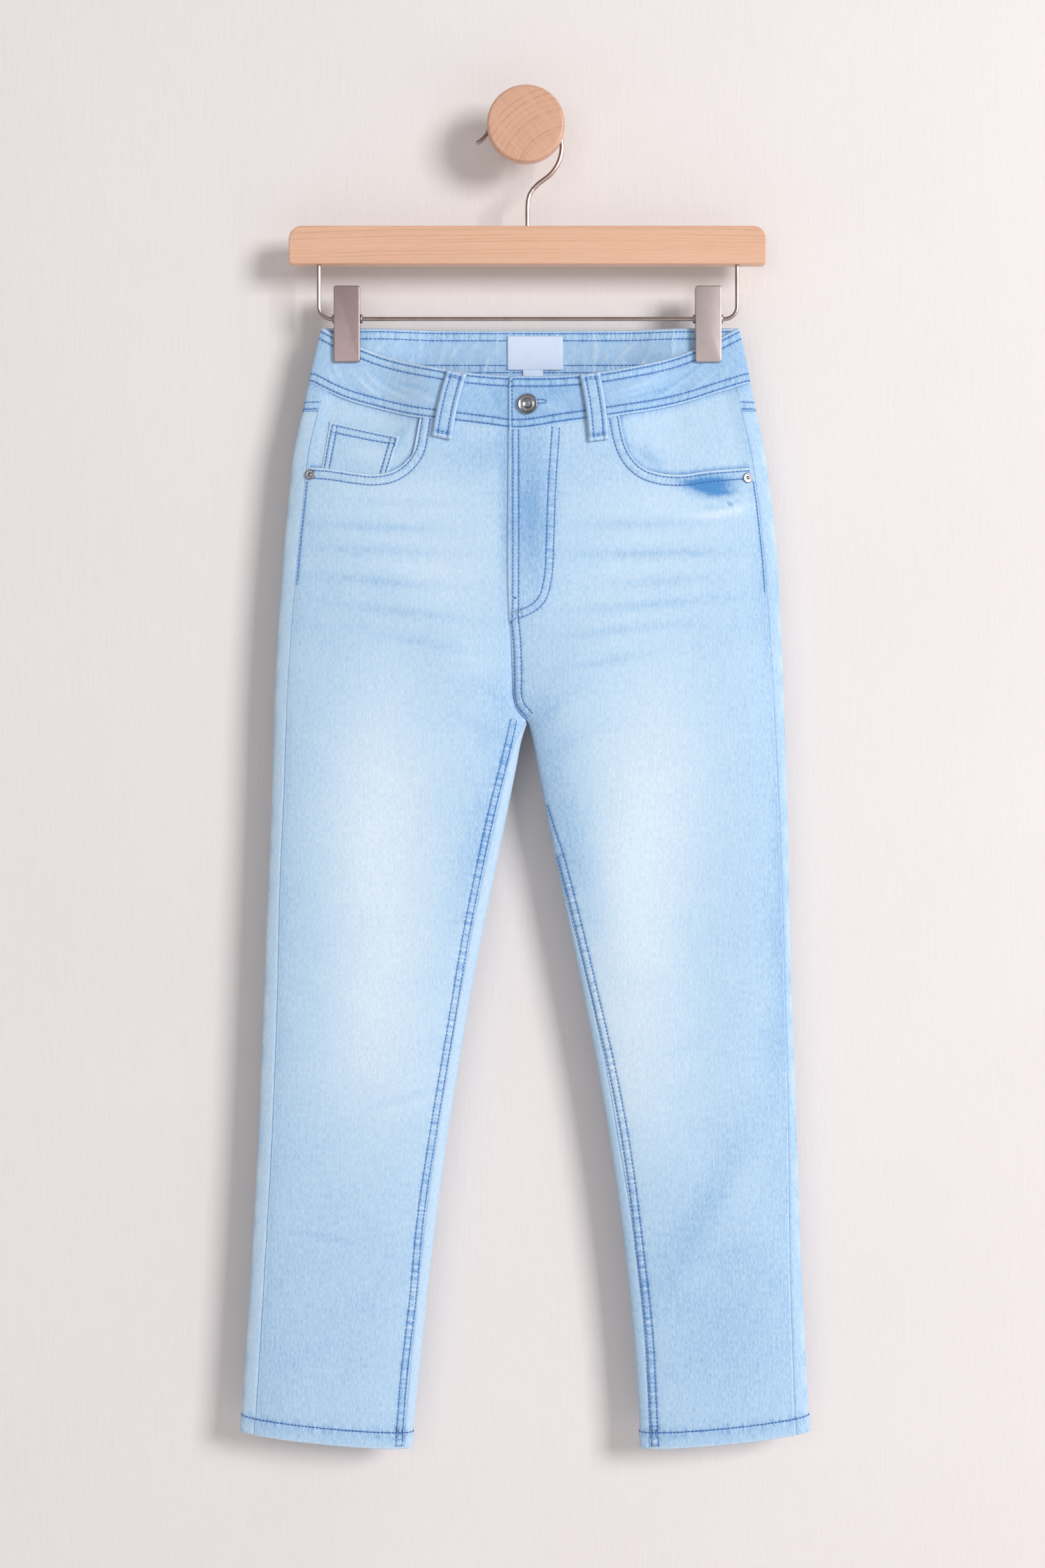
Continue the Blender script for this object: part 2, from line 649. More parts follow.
def ease(value, low, high):
    """0 below low, 1 above high, and a smooth step between."""
    t = np.clip((value - low) / (high - low), 0, 1)
    return t * t * (3 - 2 * t)


def legs_share(z):
    """0 where the hips are one tube, rising to 1 at the crotch, where two legs part."""
    return 1 - np.clip((z - CROTCH_Z) / FORK_RISE, 0, 1) ** FORK_POWER


def section(x, low, high, power):
    """The tube's section: the upper half of a superellipse from low to high, 1 in its middle."""
    across = np.abs((2 * x - low - high) / (high - low))
    return np.sqrt(1 - np.clip(across, 0, 1) ** power)


def inner_x(side, z, off):
    """The centre seam above the crotch, and the leg's inner edge below it."""
    edge = read(INNER, side, z) - SIGN[side] * off
    return np.where(z > CROTCH_Z, read(CENTRE, "x", z), edge)


def outer_x(side, z, off):
    """The leg's outer edge, moved out by off."""
    return read(OUTER, side, z) + SIGN[side] * off


def soft_spots(rows, x, z):
    """The sum of long soft spots: each is its height times a bell along and a bell across its line."""
    total = np.zeros(np.broadcast(x, z).shape)
    for middle_x, middle_z, length, width, height, angle in rows:
        right, up = x / MM - middle_x, z / MM - middle_z
        cosine, sine = math.cos(math.radians(angle)), math.sin(math.radians(angle))
        along = (right * cosine + up * sine) / length
        across = (up * cosine - right * sine) / width
        total = total + height * np.exp(-(along**2) - across**2)
    return total


def half_depth(side, x, z, off, back):
    """How far the face stands from the middle plane, moved out by off: the bulge times the section of
    the hips, less what the fork between the legs takes away, plus the folds, and drawn flat where the
    clips pinch the waist."""
    bulge = np.where(back, read(BULGE, "back", z), read(BULGE, "front", z))
    low, high = outer_x("right", z, 0), outer_x("left", z, 0)
    whole = section(x, low, high, SECTION_POWER)
    leg = section(x, inner_x(side, z, 0), outer_x(side, z, 0), SECTION_POWER)
    moved_low, moved_high = outer_x("right", z, off), outer_x("left", z, off)
    hips = (bulge + off) * section(x, moved_low, moved_high, SECTION_POWER)
    hips = hips - legs_share(z) * bulge * (whole - leg)
    moved_leg = section(x, inner_x(side, z, off), outer_x(side, z, off), SECTION_POWER)
    depth = np.where(z > CROTCH_Z, hips, (bulge + off) * moved_leg)
    front_height = soft_spots(FRONT_FOLDS + FRONT_CREASES, x, z)
    back_height = soft_spots(BACK_FOLDS + BACK_CREASES, x, z)
    height = np.where(back, back_height, front_height) * MM
    depth = depth + height * np.where(z > CROTCH_Z, whole**2, 1) * leg**2
    flat = (PINCH_DEPTH + off) * section(x, moved_low, moved_high, PINCH_POWER)
    pinch = ease(np.abs(x - PINCH_MIDDLE_X), *PINCH_REACH) * ease(z, *PINCH_FALL)
    return np.maximum(depth + (flat - depth) * pinch, 0)


def on_face(x, z, off, back=False):
    """The point at x and z on the front or back face, moved out by off."""
    right, left = half_depth("right", x, z, off, back), half_depth("left", x, z, off, back)
    depth = np.where(x < read(CENTRE, "x", z), right, left)
    return np.stack(np.broadcast_arrays(x, MIDDLE_Y + np.where(back, depth, -depth), z), axis=-1)


def is_back(turn):
    """Whether a turn lies on the back face."""
    return (turn < 0) | ((turn > 1) & (turn <= 2))


def skin(side, turn, z, off=0.0):
    """The point of one half at a turn and a height, moved out by off. The turn runs from 0 at the
    centre front or inner edge over the front to 1 at the outer edge, and over the back to 2."""
    turn, z = np.broadcast_arrays(turn, z)
    back = is_back(turn)
    sine = np.sin(np.abs(np.where(turn > 1, turn - 2, turn)) * math.pi / 2)
    legs = legs_share(z)
    share = legs * sine**2 + (1 - legs) * sine
    start = inner_x(side, z, off)
    x = start + (outer_x(side, z, off) - start) * share
    depth = half_depth(side, x, z, off, back)
    return np.stack([x, MIDDLE_Y + np.where(back, depth, -depth), z], axis=-1)


def turn_of(share, z):
    """The turn on the front whose point lies at this share of the way to the outer edge."""
    apart = 1 - legs_share(z)
    sine = 2 * share / (apart + np.sqrt(apart**2 + 4 * legs_share(z) * share) + 1e-12)
    return np.arcsin(np.clip(sine, 0, 1)) * 2 / math.pi


def moved_by(side, turn, z, distance):
    """The turn at this distance further round the tube."""
    step = 0.002
    reach = np.linalg.norm(skin(side, turn + step, z) - skin(side, turn - step, z), axis=-1)
    return turn + distance * 2 * step / reach


def width_of(side, z):
    """How far apart the leg's two edges lie."""
    return np.abs(outer_x(side, z, 0) - inner_x(side, z, 0))


def outseam(side, z, shift=0.0):
    """The turn of the side seam, moved on by a distance round the tube."""
    turn = turn_of(1 - read(SEAMS, "out_" + side, z) / width_of(side, z), z)
    return moved_by(side, turn, z, shift)


def inseam(side, z, shift=0.0):
    """The turn of the inner seam, which runs up into the centre seam at the crotch."""
    wrap = read(SEAMS, "in_" + side, z)
    turn = np.sign(wrap) * turn_of(np.abs(wrap) / width_of(side, z), z)
    return moved_by(side, np.where(z > CROTCH_Z, 0.0, turn), z, shift)


def waist_top(side, turn):
    """The waistband's top edge: level at the back, and a hanging curve at the front."""
    low, high = outer_x("right", WAIST_TOP, 0), outer_x("left", WAIST_TOP, 0)
    across = (2 * skin(side, turn, WAIST_TOP)[..., 0] - low - high) / (high - low)
    dip = FRONT_DIP * (1 - np.clip(np.abs(across), 0, 1) ** DIP_POWER)
    return WAIST_TOP - np.where(turn <= 1, dip, 0)


def waist_seam(side, turn):
    """The band's lower seam: level at the back, and at the front lower by its table."""
    x = skin(side, turn, WAIST_SEAM_SIDE)[..., 0]
    return WAIST_SEAM_SIDE - np.where(turn <= 1, read(WAIST_SEAM, "drop", x), 0)


def yoke_seam(turn):
    """A straight line from the side seam down to the centre back."""
    return YOKE_SIDE_Z + (YOKE_CENTRE_Z - YOKE_SIDE_Z) * np.clip(turn - 1, 0, 1)


def hem_z(turn):
    """The leg's lower edge, square to the leg, with round lower corners at its two folded edges."""
    half = np.abs(np.where(turn > 1, turn - 2, turn)) * math.pi
    sag = np.where((turn <= 1) | (turn > 2), HEM_SAG * np.sin(half), 0)
    return HEM_INNER_Z + (HEM_OUTER_Z - HEM_INNER_Z) * np.sin(half / 2) ** 2 - sag


# ---------------------------------------------------------------------------------------------------
# Sewing that lies on the panels: rows of lockstitch in mid blue thread, 3.1 mm a stitch. Each row
# pulls a small valley into the cloth, and between two rows the cloth puckers like a ladder.

STITCH_PITCH, STITCH_RADIUS = 3.1 * MM, 0.37 * MM
ROW_DEPTH, ROW_WIDTH = 0.28 * MM, 1.2 * MM


def run_of(points):
    """How far along a line each of its points lies."""
    return np.concatenate([[0], np.cumsum(np.linalg.norm(np.diff(points, axis=0), axis=1))])


def line_through(points, step=3.5 * MM):
    """A smooth line through a few points in millimetres, as x and z about one step apart."""
    points = np.array(points, dtype=float) * MM
    run = run_of(points)
    places = np.linspace(0, run[-1], max(2, round(run[-1] / step) + 1))
    return np.stack([curve_at(run, column, places) for column in points.T], axis=1)


def beside(line, distance):
    """The line moved sideways: to its left, as it runs, where the distance is positive."""
    along = unit(np.gradient(line, axis=0))
    return line + distance * np.stack([-along[:, 1], along[:, 0]], axis=1)


def near(line, x, z, reach):
    """Each point's distance from a line, and how far along it its nearest place lies. Beyond reach,
    and past the line's two ends, the distance is only said to be large."""
    distance, run = np.full(x.shape, 1.0), np.zeros(x.shape)
    low, high = line.min(axis=0) - reach, line.max(axis=0) + reach
    close = (x > low[0]) & (x < high[0]) & (z > low[1]) & (z < high[1])
    px, pz, best, passed = x[close], z[close], distance[close], run[close]
    start = 0.0
    for a, b in zip(line[:-1], line[1:]):
        step = b - a
        length = math.hypot(*step)
        t = np.clip(((px - a[0]) * step[0] + (pz - a[1]) * step[1]) / length**2, 0, 1)
        far = np.hypot(px - a[0] - t * step[0], pz - a[1] - t * step[1])
        passed = np.where(far < best, start + t * length, passed)
        best = np.minimum(far, best)
        start += length
    best = np.where((passed <= 0) | (passed >= start), 1.0, best)
    distance[close], run[close] = best, passed
    return distance, run


def edge_of_pocket(side):
    """The pocket opening from the waistband out to the side seam, as a line."""
    columns = POCKET[side]
    points = np.stack([columns["x"], columns["z"]], axis=1) / MM
    return line_through(points if side == "left" else points[::-1], 2.5 * MM)


def outseam_line(side, low, high):
    """The side seam between two heights, as x and z."""
    z = np.linspace(high, low, 2 + int((high - low) / 6)) * MM
    return np.stack([outer_x(side, z, 0) - SIGN[side] * read(SEAMS, "out_" + side, z), z], axis=1)


CENTRE_LINE = [(-12.8, -397.8), (-11.2, -418.6), (-10.7, -441.5), (-10.2, -459.2)]
CENTRE_LINE += [(-8.0, -466.1), (-4.8, -470.4), (0.6, -476.4)]
FLY_EDGE = [(-12.2, -244), (-12.2, -300), (-12.2, -350), (-12.4, -398)]
J_INNER = [(21.1, -241.8), (18.1, -284.6), (16, -341.7), (15.5, -354.5), (13.9, -366.3)]
J_INNER += [(9.6, -379.1), (3.2, -384.9), (-3.8, -388.1), (-11.0, -389.7)]
INSEAM_RIGHT = [(-7.2, -476), (-13.4, -504), (-24.1, -546.7), (-35, -596.4), (-44.9, -646)]
INSEAM_RIGHT += [(-58, -724), (-72, -808), (-82.5, -880), (-88.1, -939.7), (-95.6, -1005.9)]
INSEAM_RIGHT += [(-99.6, -1060)]
INSEAM_LEFT_TOP = [(17.0, -544), (20.6, -556), (25.6, -571), (30.6, -585)]
INSEAM_LEFT = [(25.1, -586), (39, -640), (53.4, -700.5), (66, -755), (76.3, -808.3)]
INSEAM_LEFT += [(89.1, -903.4), (96.9, -977.1), (99, -1019.8), (101.2, -1060)]

# Pairs of rows on the front: each seam's line, how far to its left each of its rows lies, and how
# strongly the cloth is puckered between them.
front_rows = {
    "right": [
        (edge_of_pocket("right"), (1.7, 8.0), 0.3),
        (line_through(INSEAM_RIGHT), (0, -5.0), 0.9),
        (outseam_line("right", -368, -284), (2.0,), 0.0),
    ],
    "left": [
        (edge_of_pocket("left"), (-1.7, -8.0), 0.3),
        (line_through(FLY_EDGE), (2.0, 6.4), 0.15),
        (line_through(J_INNER), (0, 5.9), 0.5),
        (line_through(CENTRE_LINE), (1.6, 7.2), 0.5),
        (line_through(INSEAM_LEFT), (0, 5.4), 0.9),
        (line_through(INSEAM_LEFT_TOP), (0,), 0.2),
        (outseam_line("left", -374, -284), (-2.0,), 0.0),
    ],
}


def sewn_rows(pairs):
    """The line of each single row."""
    return [beside(line, distance * MM) for line, rows, _ in pairs for distance in rows]


def bell(distance, width, power=2):
    """1 at the place itself, falling off smoothly to both sides: the higher the power, the flatter
    the top and the steeper the sides."""
    return np.exp(-((distance / width) ** power))


def sewn_relief(pairs, x, z):
    """The height of the cloth by its sewing: a bell-shaped valley along each row, and between two
    rows a low ridge."""
    total = np.zeros(x.shape)
    for line, rows, _ in pairs:
        for distance in rows:
            far, _ = near(beside(line, distance * MM), x, z, 4 * MM)
            total -= ROW_DEPTH * bell(far, ROW_WIDTH)
        if len(rows) > 1:
            far, _ = near(beside(line, (rows[0] + rows[1]) / 2 * MM), x, z, 8 * MM)
            total += 0.25 * MM * bell(far, abs(rows[1] - rows[0]) * 0.36 * MM)
    return total


FAR_OFF = 30 * MM


def seam_field(run, far, half, pucker):
    """Where points lie by a seam: how far along it, how far from the middle of its rows, half the gap
    between them, and how strongly it is puckered. The denim draws rows and puckers from this."""
    return np.stack(np.broadcast_arrays(run, far, half, pucker), axis=-1).astype(float)


def sewn_field(pairs, x, z):
    """The seam field of the nearest of several seams."""
    field = seam_field(np.zeros(x.shape), FAR_OFF, 0, 0)
    for number, (line, rows, pucker) in enumerate(pairs):
        middle, half = sum(rows) / len(rows) * MM, abs(rows[0] - rows[-1]) / 2 * MM
        far, run = near(beside(line, middle), x, z, 16 * MM)
        closer = far < field[..., 1]
        swell = pucker * ease(run, 0, 30 * MM)
        field[closer] = seam_field(run + number, far, half, swell)[closer]
    return field


def thread_mesh(name, rows, radius, material, pitch=STITCH_PITCH):
    """Stitches as short bent tubes of five sides: four rings each, thick in the middle and sunk into
    the cloth at both ends. A row is its places, n by 3, and the direction away from the cloth."""
    sides, rings = 5, np.array([0.0, 0.3, 0.7, 1.0])
    lift = np.array([-0.25, 0.55, 0.55, -0.25]) * radius
    girth = np.array([0.55, 1.0, 1.0, 0.55]) * radius
    points = []
    for places, away in rows:
        run = run_of(places)
        count = max(1, int(run[-1] / pitch))
        starts = (np.arange(count)[:, None] + 0.1 + 0.8 * rings) * (run[-1] / count)
        columns = np.concatenate([places, np.broadcast_to(away, places.shape)], axis=1).T
        drawn = np.stack([np.interp(starts, run, column) for column in columns], axis=-1)
        centre, up = drawn[..., :3], unit(drawn[..., 3:])
        across = unit(np.cross(unit(centre[:, -1:] - centre[:, :1]), up))
        ring = circle(across, up, sides) * girth[:, None, None]
        points.append(((centre + up * lift[:, None])[:, :, None] + ring).reshape(-1, 3))
    points = np.concatenate(points)
    number = np.arange(len(points)).reshape(-1, len(rings), sides)
    after = np.roll(number, -1, axis=2)
    quads = np.stack([number[:, :-1], number[:, 1:], after[:, 1:], after[:, :-1]], axis=-1).reshape(-1, 4)
    caps = np.stack([number[:, 0], number[:, -1, ::-1]], axis=1).reshape(-1, sides)
    stitches = place_piece(name, points, quads.tolist() + caps.tolist(), material)


def thread(name, code):
    """Spun polyester core thread: matt, with a slight sheen and a twist too fine to model."""
    material, node, shader = new_material(name, Roughness=0.62, Sheen_Weight=0.25)
    place = node("TexCoord").outputs["Object"]
    cloud = node("TexNoise", {"Vector": place, "Scale": 260.0, "Detail": 2.0})
    pale = tuple(min(1, c * 1.35) for c in linear(code)[:3]) + (1,)
    tone = node("Mix", {0: cloud, 6: linear(code), 7: pale}, data_type="RGBA")
    connect(shader, {"Base Color": tone})
    return material


blue_thread = thread("mid_blue_polyester_thread", "#3E70B6")

# ---------------------------------------------------------------------------------------------------
# The front panels, of 3/1 right-hand twill in cotton with elastane, dyed with indigo and washed out
# to a pale blue. Friction has bleached the thighs and every raised edge, and left the seams darker.

CLOTH_WALL, SEAM_GAP = 1.3 * MM, 0.15 * MM  # half the gap between two sewn panels
TWILL_REPEAT = 1.6 * MM
WAVE_SPACING = 0.314  # what a wave texture leaves between its stripes at scale 1

# Where the wash has made the front paler or left it deeper, placed as the folds are. 1 is palest.
FRONT_WASH = (
    (-116, -622, 150, 46, 0.62, 92),
    (88, -628, 150, 46, 0.66, 84),
    (-112, -520, 80, 50, 0.22, 90),
    (96, -500, 80, 56, 0.22, 90),
    (-100, -300, 60, 22, 0.30, 0),
    (112, -305, 62, 22, 0.28, 0),
    (-60, -356, 40, 50, 0.32, 80),
    (80, -372, 60, 40, 0.16, 20),
    # deeper: both sides of the fly, the fork, and the outer edges
    (4, -312, 66, 16, -0.58, 90),
    (-17, -318, 86, 4.5, -0.30, 90),
    (-30, -262, 30, 14, -0.16, 20),
    (-22, -452, 34, 14, -0.10, 80),
    (-42, -426, 28, 20, 0.16, 0),
    (14, -470, 26, 12, -0.12, 60),
    (-128, -745, 70, 46, 0.24, 92),
    (100, -765, 70, 44, 0.24, 86),
    (-188, -330, 80, 9, -0.12, 88),
    (194, -350, 90, 9, -0.24, 92),
    (-200, -640, 190, 12, -0.04, 91),
    (206, -640, 190, 12, -0.24, 89),
    (-36, -560, 80, 14, -0.24, 74),
    (40, -580, 100, 18, -0.34, 106),
    (-152, -940, 90, 60, -0.06, 80),
    (158, -950, 100, 60, -0.20, 100),
    (-200, -1000, 60, 18, -0.08, 90),
    (145, -866, 80, 14, -0.15, 64),
    (162, -876, 70, 12, 0.10, 62),
    # a deeper, rubbed patch under the left pocket
    (150, -290.0, 16, 8.0, -1.16, 3),
    (138, -287.5, 14, 6.0, -0.50, 0),
    (144, -284.5, 20, 5.0, -0.34, 1),
    (158, -294.5, 12, 2.4, -0.50, 6),
    (146, -292.0, 10, 1.6, -0.30, -4),
    (130, -286.5, 15, 3.0, -0.32, -3),
    (151, -290.8, 9, 1.1, 0.25, -5),
    (138, -282.5, 9, 1.1, 0.25, 4),
    (148, -307.6, 6, 1.1, -0.80, 0),
    (165, -302.5, 5, 1.1, -0.90, 26),
    (152, -312, 22, 2.6, 0.50, 5),
    (172, -306, 12, 2.0, 0.40, 14),
    # whiskers: a deeper line with a paler one beside it
    (96, -319, 50, 3.4, -0.22, 2),
    (104, -343, 54, 3.2, -0.26, 1),
    (112, -366, 44, 3.4, -0.16, 4),
    (100, -384, 58, 3.6, -0.26, 5),
    (84, -403, 44, 3.4, -0.22, 6),
    (72, -428, 38, 4.0, -0.18, 10),
    (-104, -302, 44, 3.4, -0.14, -2),
    (-118, -322, 48, 3.2, -0.20, -3),
    (-108, -341, 46, 3.2, -0.18, -2),
    (-112, -366, 54, 3.4, -0.22, -5),
    (-96, -390, 50, 3.6, -0.20, -7),
    (-82, -414, 42, 3.8, -0.18, -10),
    (104, -331, 46, 4.0, 0.14, 2),
    (104, -354, 46, 4.0, 0.12, 3),
    (-110, -331, 46, 4.0, 0.12, -3),
    (-106, -353, 46, 4.0, 0.12, -4),
)
BACK_WASH = (
    (-104, -380, 80, 46, 0.42, 80),
    (98, -384, 80, 46, 0.42, 100),
    (-128, -640, 120, 44, 0.34, 92),
    (124, -650, 120, 44, 0.34, 88),
    (-104, -492, 60, 12, -0.30, 6),
    (104, -496, 60, 12, -0.30, -6),
    (-134, -780, 44, 26, -0.28, 0),
    (140, -788, 44, 26, -0.28, 0),
    (-12, -380, 120, 12, -0.30, 90),
    (-150, -950, 90, 60, -0.12, 80),
    (156, -950, 90, 60, -0.12, 100),
)


def wash(x, z, back, pairs=()):
    """How pale the cloth is, from -1 to 1: the soft spots, paler on each crease's crest and deeper in
    its hollow, and a deeper haze along sewn rows."""
    creases = np.where(back, soft_spots(BACK_CREASES, x, z), soft_spots(FRONT_CREASES, x, z))
    total = np.where(back, soft_spots(BACK_WASH, x, z), soft_spots(FRONT_WASH, x, z)) + 0.22 * creases
    for line, rows, pucker in pairs:
        far, _ = near(beside(line, sum(rows) / len(rows) * MM), x, z, 16 * MM)
        total -= (0.06 + 0.10 * pucker) * bell(far, 4.5 * MM)
    return total


def denim(name, deep, base, pale):
    """Washed stretch denim. White weft shows through the worn indigo warp, so the blue is broken up
    by fine flecks and streaks along the warp, by twill lines and by soft clouds from the wash. Along
    a seam it is puckered: paler on each crest and deeper in each hollow and along each sewn row. The
    real twill repeats each 0.9 mm and is drawn wider, to show in a picture of the whole garment."""
    material, node, shader = new_material(
        name, Roughness=0.88, Specular_IOR_Level=0.2, Sheen_Weight=0.08, Sheen_Roughness=0.5
    )
    cloth = node("UVMap", uv_map="cloth")
    worn = node("Attribute", attribute_name="wash").outputs["Fac"]
    leaning = node("Mapping", {"Vector": cloth, "Rotation": (0, 0, math.radians(-62))})
    twill = node(
        "TexWave",
        {
            "Vector": leaning,
            "Scale": WAVE_SPACING / TWILL_REPEAT,
            "Distortion": 1.4,
            "Detail": 2.0,
            "Detail Scale": 3.0,
        },
    ).outputs["Fac"]
    upright = node("Mapping", {"Vector": cloth, "Scale": (1, 0.3, 1)})
    fleck = node("TexNoise", {"Vector": upright, "Scale": 760.0, "Detail": 3.0, "Roughness": 0.7})
    long = node("Mapping", {"Vector": cloth, "Scale": (1, 0.08, 1)})
    slub = node("TexNoise", {"Vector": long, "Scale": 520.0, "Detail": 2.0})
    cloud = node("TexNoise", {"Vector": cloth, "Scale": 150.0, "Detail": 4.0})
    haze = node("TexNoise", {"Vector": cloth, "Scale": 24.0, "Detail": 3.0})

    sewn = node("SeparateXYZ", {0: node("Attribute", attribute_name="sewn").outputs["Vector"]})
    run, across, half = sewn.outputs
    from_row = node("Math", {0: across, 1: half}, operation="SUBTRACT")
    at_row = bell_node(node, from_row, 0.7 * MM)
    puckered = node("Attribute", attribute_name="pucker").outputs["Fac"]
    by_seam = bell_node(node, across, 3.8 * MM)
    by_seam = node("Math", {0: by_seam, 1: puckered}, operation="MULTIPLY")
    narrow = node("Math", {0: across, 1: 0.3}, operation="MULTIPLY")
    pucker_place = node("CombineXYZ", {0: run, 1: narrow})
    pucker = node("TexNoise", {"Vector": pucker_place, "Scale": 1 / (3.0 * MM), "Detail": 1.0})
    crest = node("Math", {0: pucker, 1: 0.5}, operation="SUBTRACT")
    crest = node("Math", {0: crest, 1: by_seam}, operation="MULTIPLY")

    tone = node("Math", {0: at_row, 1: -0.42, 2: worn}, operation="MULTIPLY_ADD")
    tone = node("Math", {0: crest, 1: 3.0, 2: tone}, operation="MULTIPLY_ADD")
    for texture, share in ((twill, 0.14), (fleck, 1.3), (slub, 0.42), (cloud, 0.16), (haze, 0.22)):
        centred = node("Math", {0: texture, 1: 0.5}, operation="SUBTRACT")
        tone = node("Math", {0: centred, 1: share, 2: tone}, operation="MULTIPLY_ADD")
    deeper = node("MapRange", {"Value": tone, 1: -1.0, 2: 0.0})
    paler = node("MapRange", {"Value": tone, 1: 0.0, 2: 1.0})
    low = node("Mix", {0: deeper, 6: linear(deep), 7: linear(base)}, data_type="RGBA")
    high = node("Mix", {0: paler, 6: low, 7: linear(pale)}, data_type="RGBA")
    weave = node("Math", {0: twill, 1: 0.35, 2: fleck}, operation="MULTIPLY_ADD")
    fine = node("Bump", {"Strength": 0.5, "Distance": 0.3 * MM, "Height": weave})
    rough = node("Math", {0: crest, 1: 3.0}, operation="MULTIPLY")
    rough = node("Math", {0: at_row, 1: -0.6, 2: rough}, operation="MULTIPLY_ADD")
    bump = node("Bump", {"Strength": 0.9, "Distance": 0.5 * MM, "Height": rough, "Normal": fine})
    connect(shader, {"Base Color": high, "Normal": bump})
    return material


pale_denim = denim("washed_stretch_denim", "#5390CE", "#B6D6F2", "#E6F4FF")


def uneven(count, *dense):
    """Places from 0 to 1, closer together round each dense place: (place, width, how much closer)."""
    fine = np.linspace(0, 1, 4001)
    weight = 1 + sum(much * bell(fine - place, width) for place, width, much in dense)
    run = np.concatenate([[0], np.cumsum(weight[1:] + weight[:-1])])
    return np.interp(np.linspace(0, run[-1], count), run, fine)


def shell(
    name, outer, inner, tone, material, start=(0.0, 0.0), sewn=None, inside=-0.25, sewn_inside=None
):
    """A closed wall of cloth between two grids of points, rows by columns, with a round rim. Its own
    UV map is in metres: the level distance round the outer grid, and the height."""
    rows, columns = outer.shape[:2]
    count = rows * columns
    number = np.arange(count).reshape(rows, columns)
    rim = np.concatenate([number[0, :-1], number[:-1, -1], number[-1, :0:-1], number[:0:-1, 0]])
    within = np.concatenate([number[1, :-1], number[:-1, -2], number[-2, :0:-1], number[:0:-1, 1]])
    flat_outer, flat_inner = outer.reshape(-1, 3), inner.reshape(-1, 3)
    out = flat_outer[rim] - flat_outer[within]
    out /= np.linalg.norm(out, axis=1, keepdims=True) + 1e-9
    wall = np.linalg.norm(flat_outer[rim] - flat_inner[rim], axis=1, keepdims=True)
    middle = (flat_outer[rim] + flat_inner[rim]) / 2 + out * wall * 0.42
    points = np.concatenate([flat_outer, flat_inner, middle])

    def quads(grid):
        """The four corners of each cell of a grid."""
        corners = (grid[:-1, :-1], grid[1:, :-1], grid[1:, 1:], grid[:-1, 1:])
        return np.stack(corners, axis=-1).reshape(-1, 4)

    edge, after = 2 * count + np.arange(len(rim)), 2 * count + np.roll(np.arange(len(rim)), -1)
    following = np.roll(rim, -1)
    faces = np.concatenate(
        [
            quads(number),
            quads(number + count)[:, ::-1],
            np.stack([rim, following, after, edge], axis=-1),
            np.stack([edge, after, following + count, rim + count], axis=-1),
        ]
    )
    step = np.linalg.norm(np.diff(outer[..., :2], axis=1), axis=2)
    across = np.concatenate([np.zeros((rows, 1)), np.cumsum(step, axis=1)], axis=1)
    middle_column = columns // 2
    rightward = np.sign(outer[:, middle_column + 1, :1] - outer[:, middle_column - 1, :1])
    across = across - across[:, middle_column : middle_column + 1]
    across = start[0] + across + rightward * outer[:, middle_column, :1]
    uv = np.stack([across, outer[..., 2] + start[1]], axis=-1).reshape(-1, 2)
    uv = np.concatenate([uv, uv, uv[rim]])
    tone = np.broadcast_to(tone, (rows, columns)).reshape(-1)
    tone = np.concatenate([tone, tone + inside, tone[rim] + 0.2])
    if sewn is None:
        sewn = np.array([0, FAR_OFF, 0, 0])
    sewn_inside = sewn if sewn_inside is None else sewn_inside
    sewn, within = (np.broadcast_to(v, (rows, columns, 4)).reshape(-1, 4) for v in (sewn, sewn_inside))
    sewn = np.concatenate([sewn, within, sewn[rim]]).astype(np.float32)
    piece = place_piece(name, points, faces.tolist(), material)
    mesh = piece.data
    corner = np.empty(len(mesh.loops), dtype=np.int64)
    mesh.loops.foreach_get("vertex_index", corner)
    mesh.uv_layers.new(name="cloth").data.foreach_set("uv", uv[corner].astype(np.float32).ravel())
    mesh.attributes.new("wash", "FLOAT", "POINT").data.foreach_set("value", tone.astype(np.float32))
    vectors = mesh.attributes.new("sewn", "FLOAT_VECTOR", "POINT")
    vectors.data.foreach_set("vector", sewn[:, :3].ravel())
    mesh.attributes.new("pucker", "FLOAT", "POINT").data.foreach_set("value", sewn[:, 3].copy())
    first = faces[len(faces) // 8]
    a, b, c = points[first[:3]]
    if np.cross(b - a, c - b) @ (flat_outer[first[0]] - flat_inner[first[0]]) < 0:
        mesh.flip_normals()
    return piece


def sew_on(sheet, node, slot, flat, area=None, rests_on=("waistband",)):
    """A cloth piece in its solid's place: flat is the width and length of the rectangle that it is
    cut from, and area its own flat area where it isn't a rectangle."""
    stand_for(node)


FILL_TO, BEND_FROM = -300 * MM, -1000 * MM
FRONT_GRID = (34, 216, 28)  # rows below the top edge, down the leg and by the hem
FRONT_COLUMNS = uneven(132, (0, 0.09, 1.6), (0.37, 0.05, 2.4), (1, 0.05, 1.6))
FLY_LAP, FLY_RISE, FLY_END = 1.3 * MM, 1.0 * MM, -400 * MM
HEM_PROUD = 0.7 * MM


def leg_heights(top, hem, fill, rows, foot):
    """Heights, rows by columns: fill rows below the top edge, then level rows down the leg, then
    rows that bend to the hem's own line."""
    steps = np.linspace(0, 1, fill + 1)[:-1, None]
    levels = np.linspace(FILL_TO, BEND_FROM, rows)[:, None] + 0 * top
    down = np.linspace(0, 1, foot + 1)[1:, None]
    return np.concatenate([top + (FILL_TO - top) * steps, levels, BEND_FROM + (hem - BEND_FROM) * down])


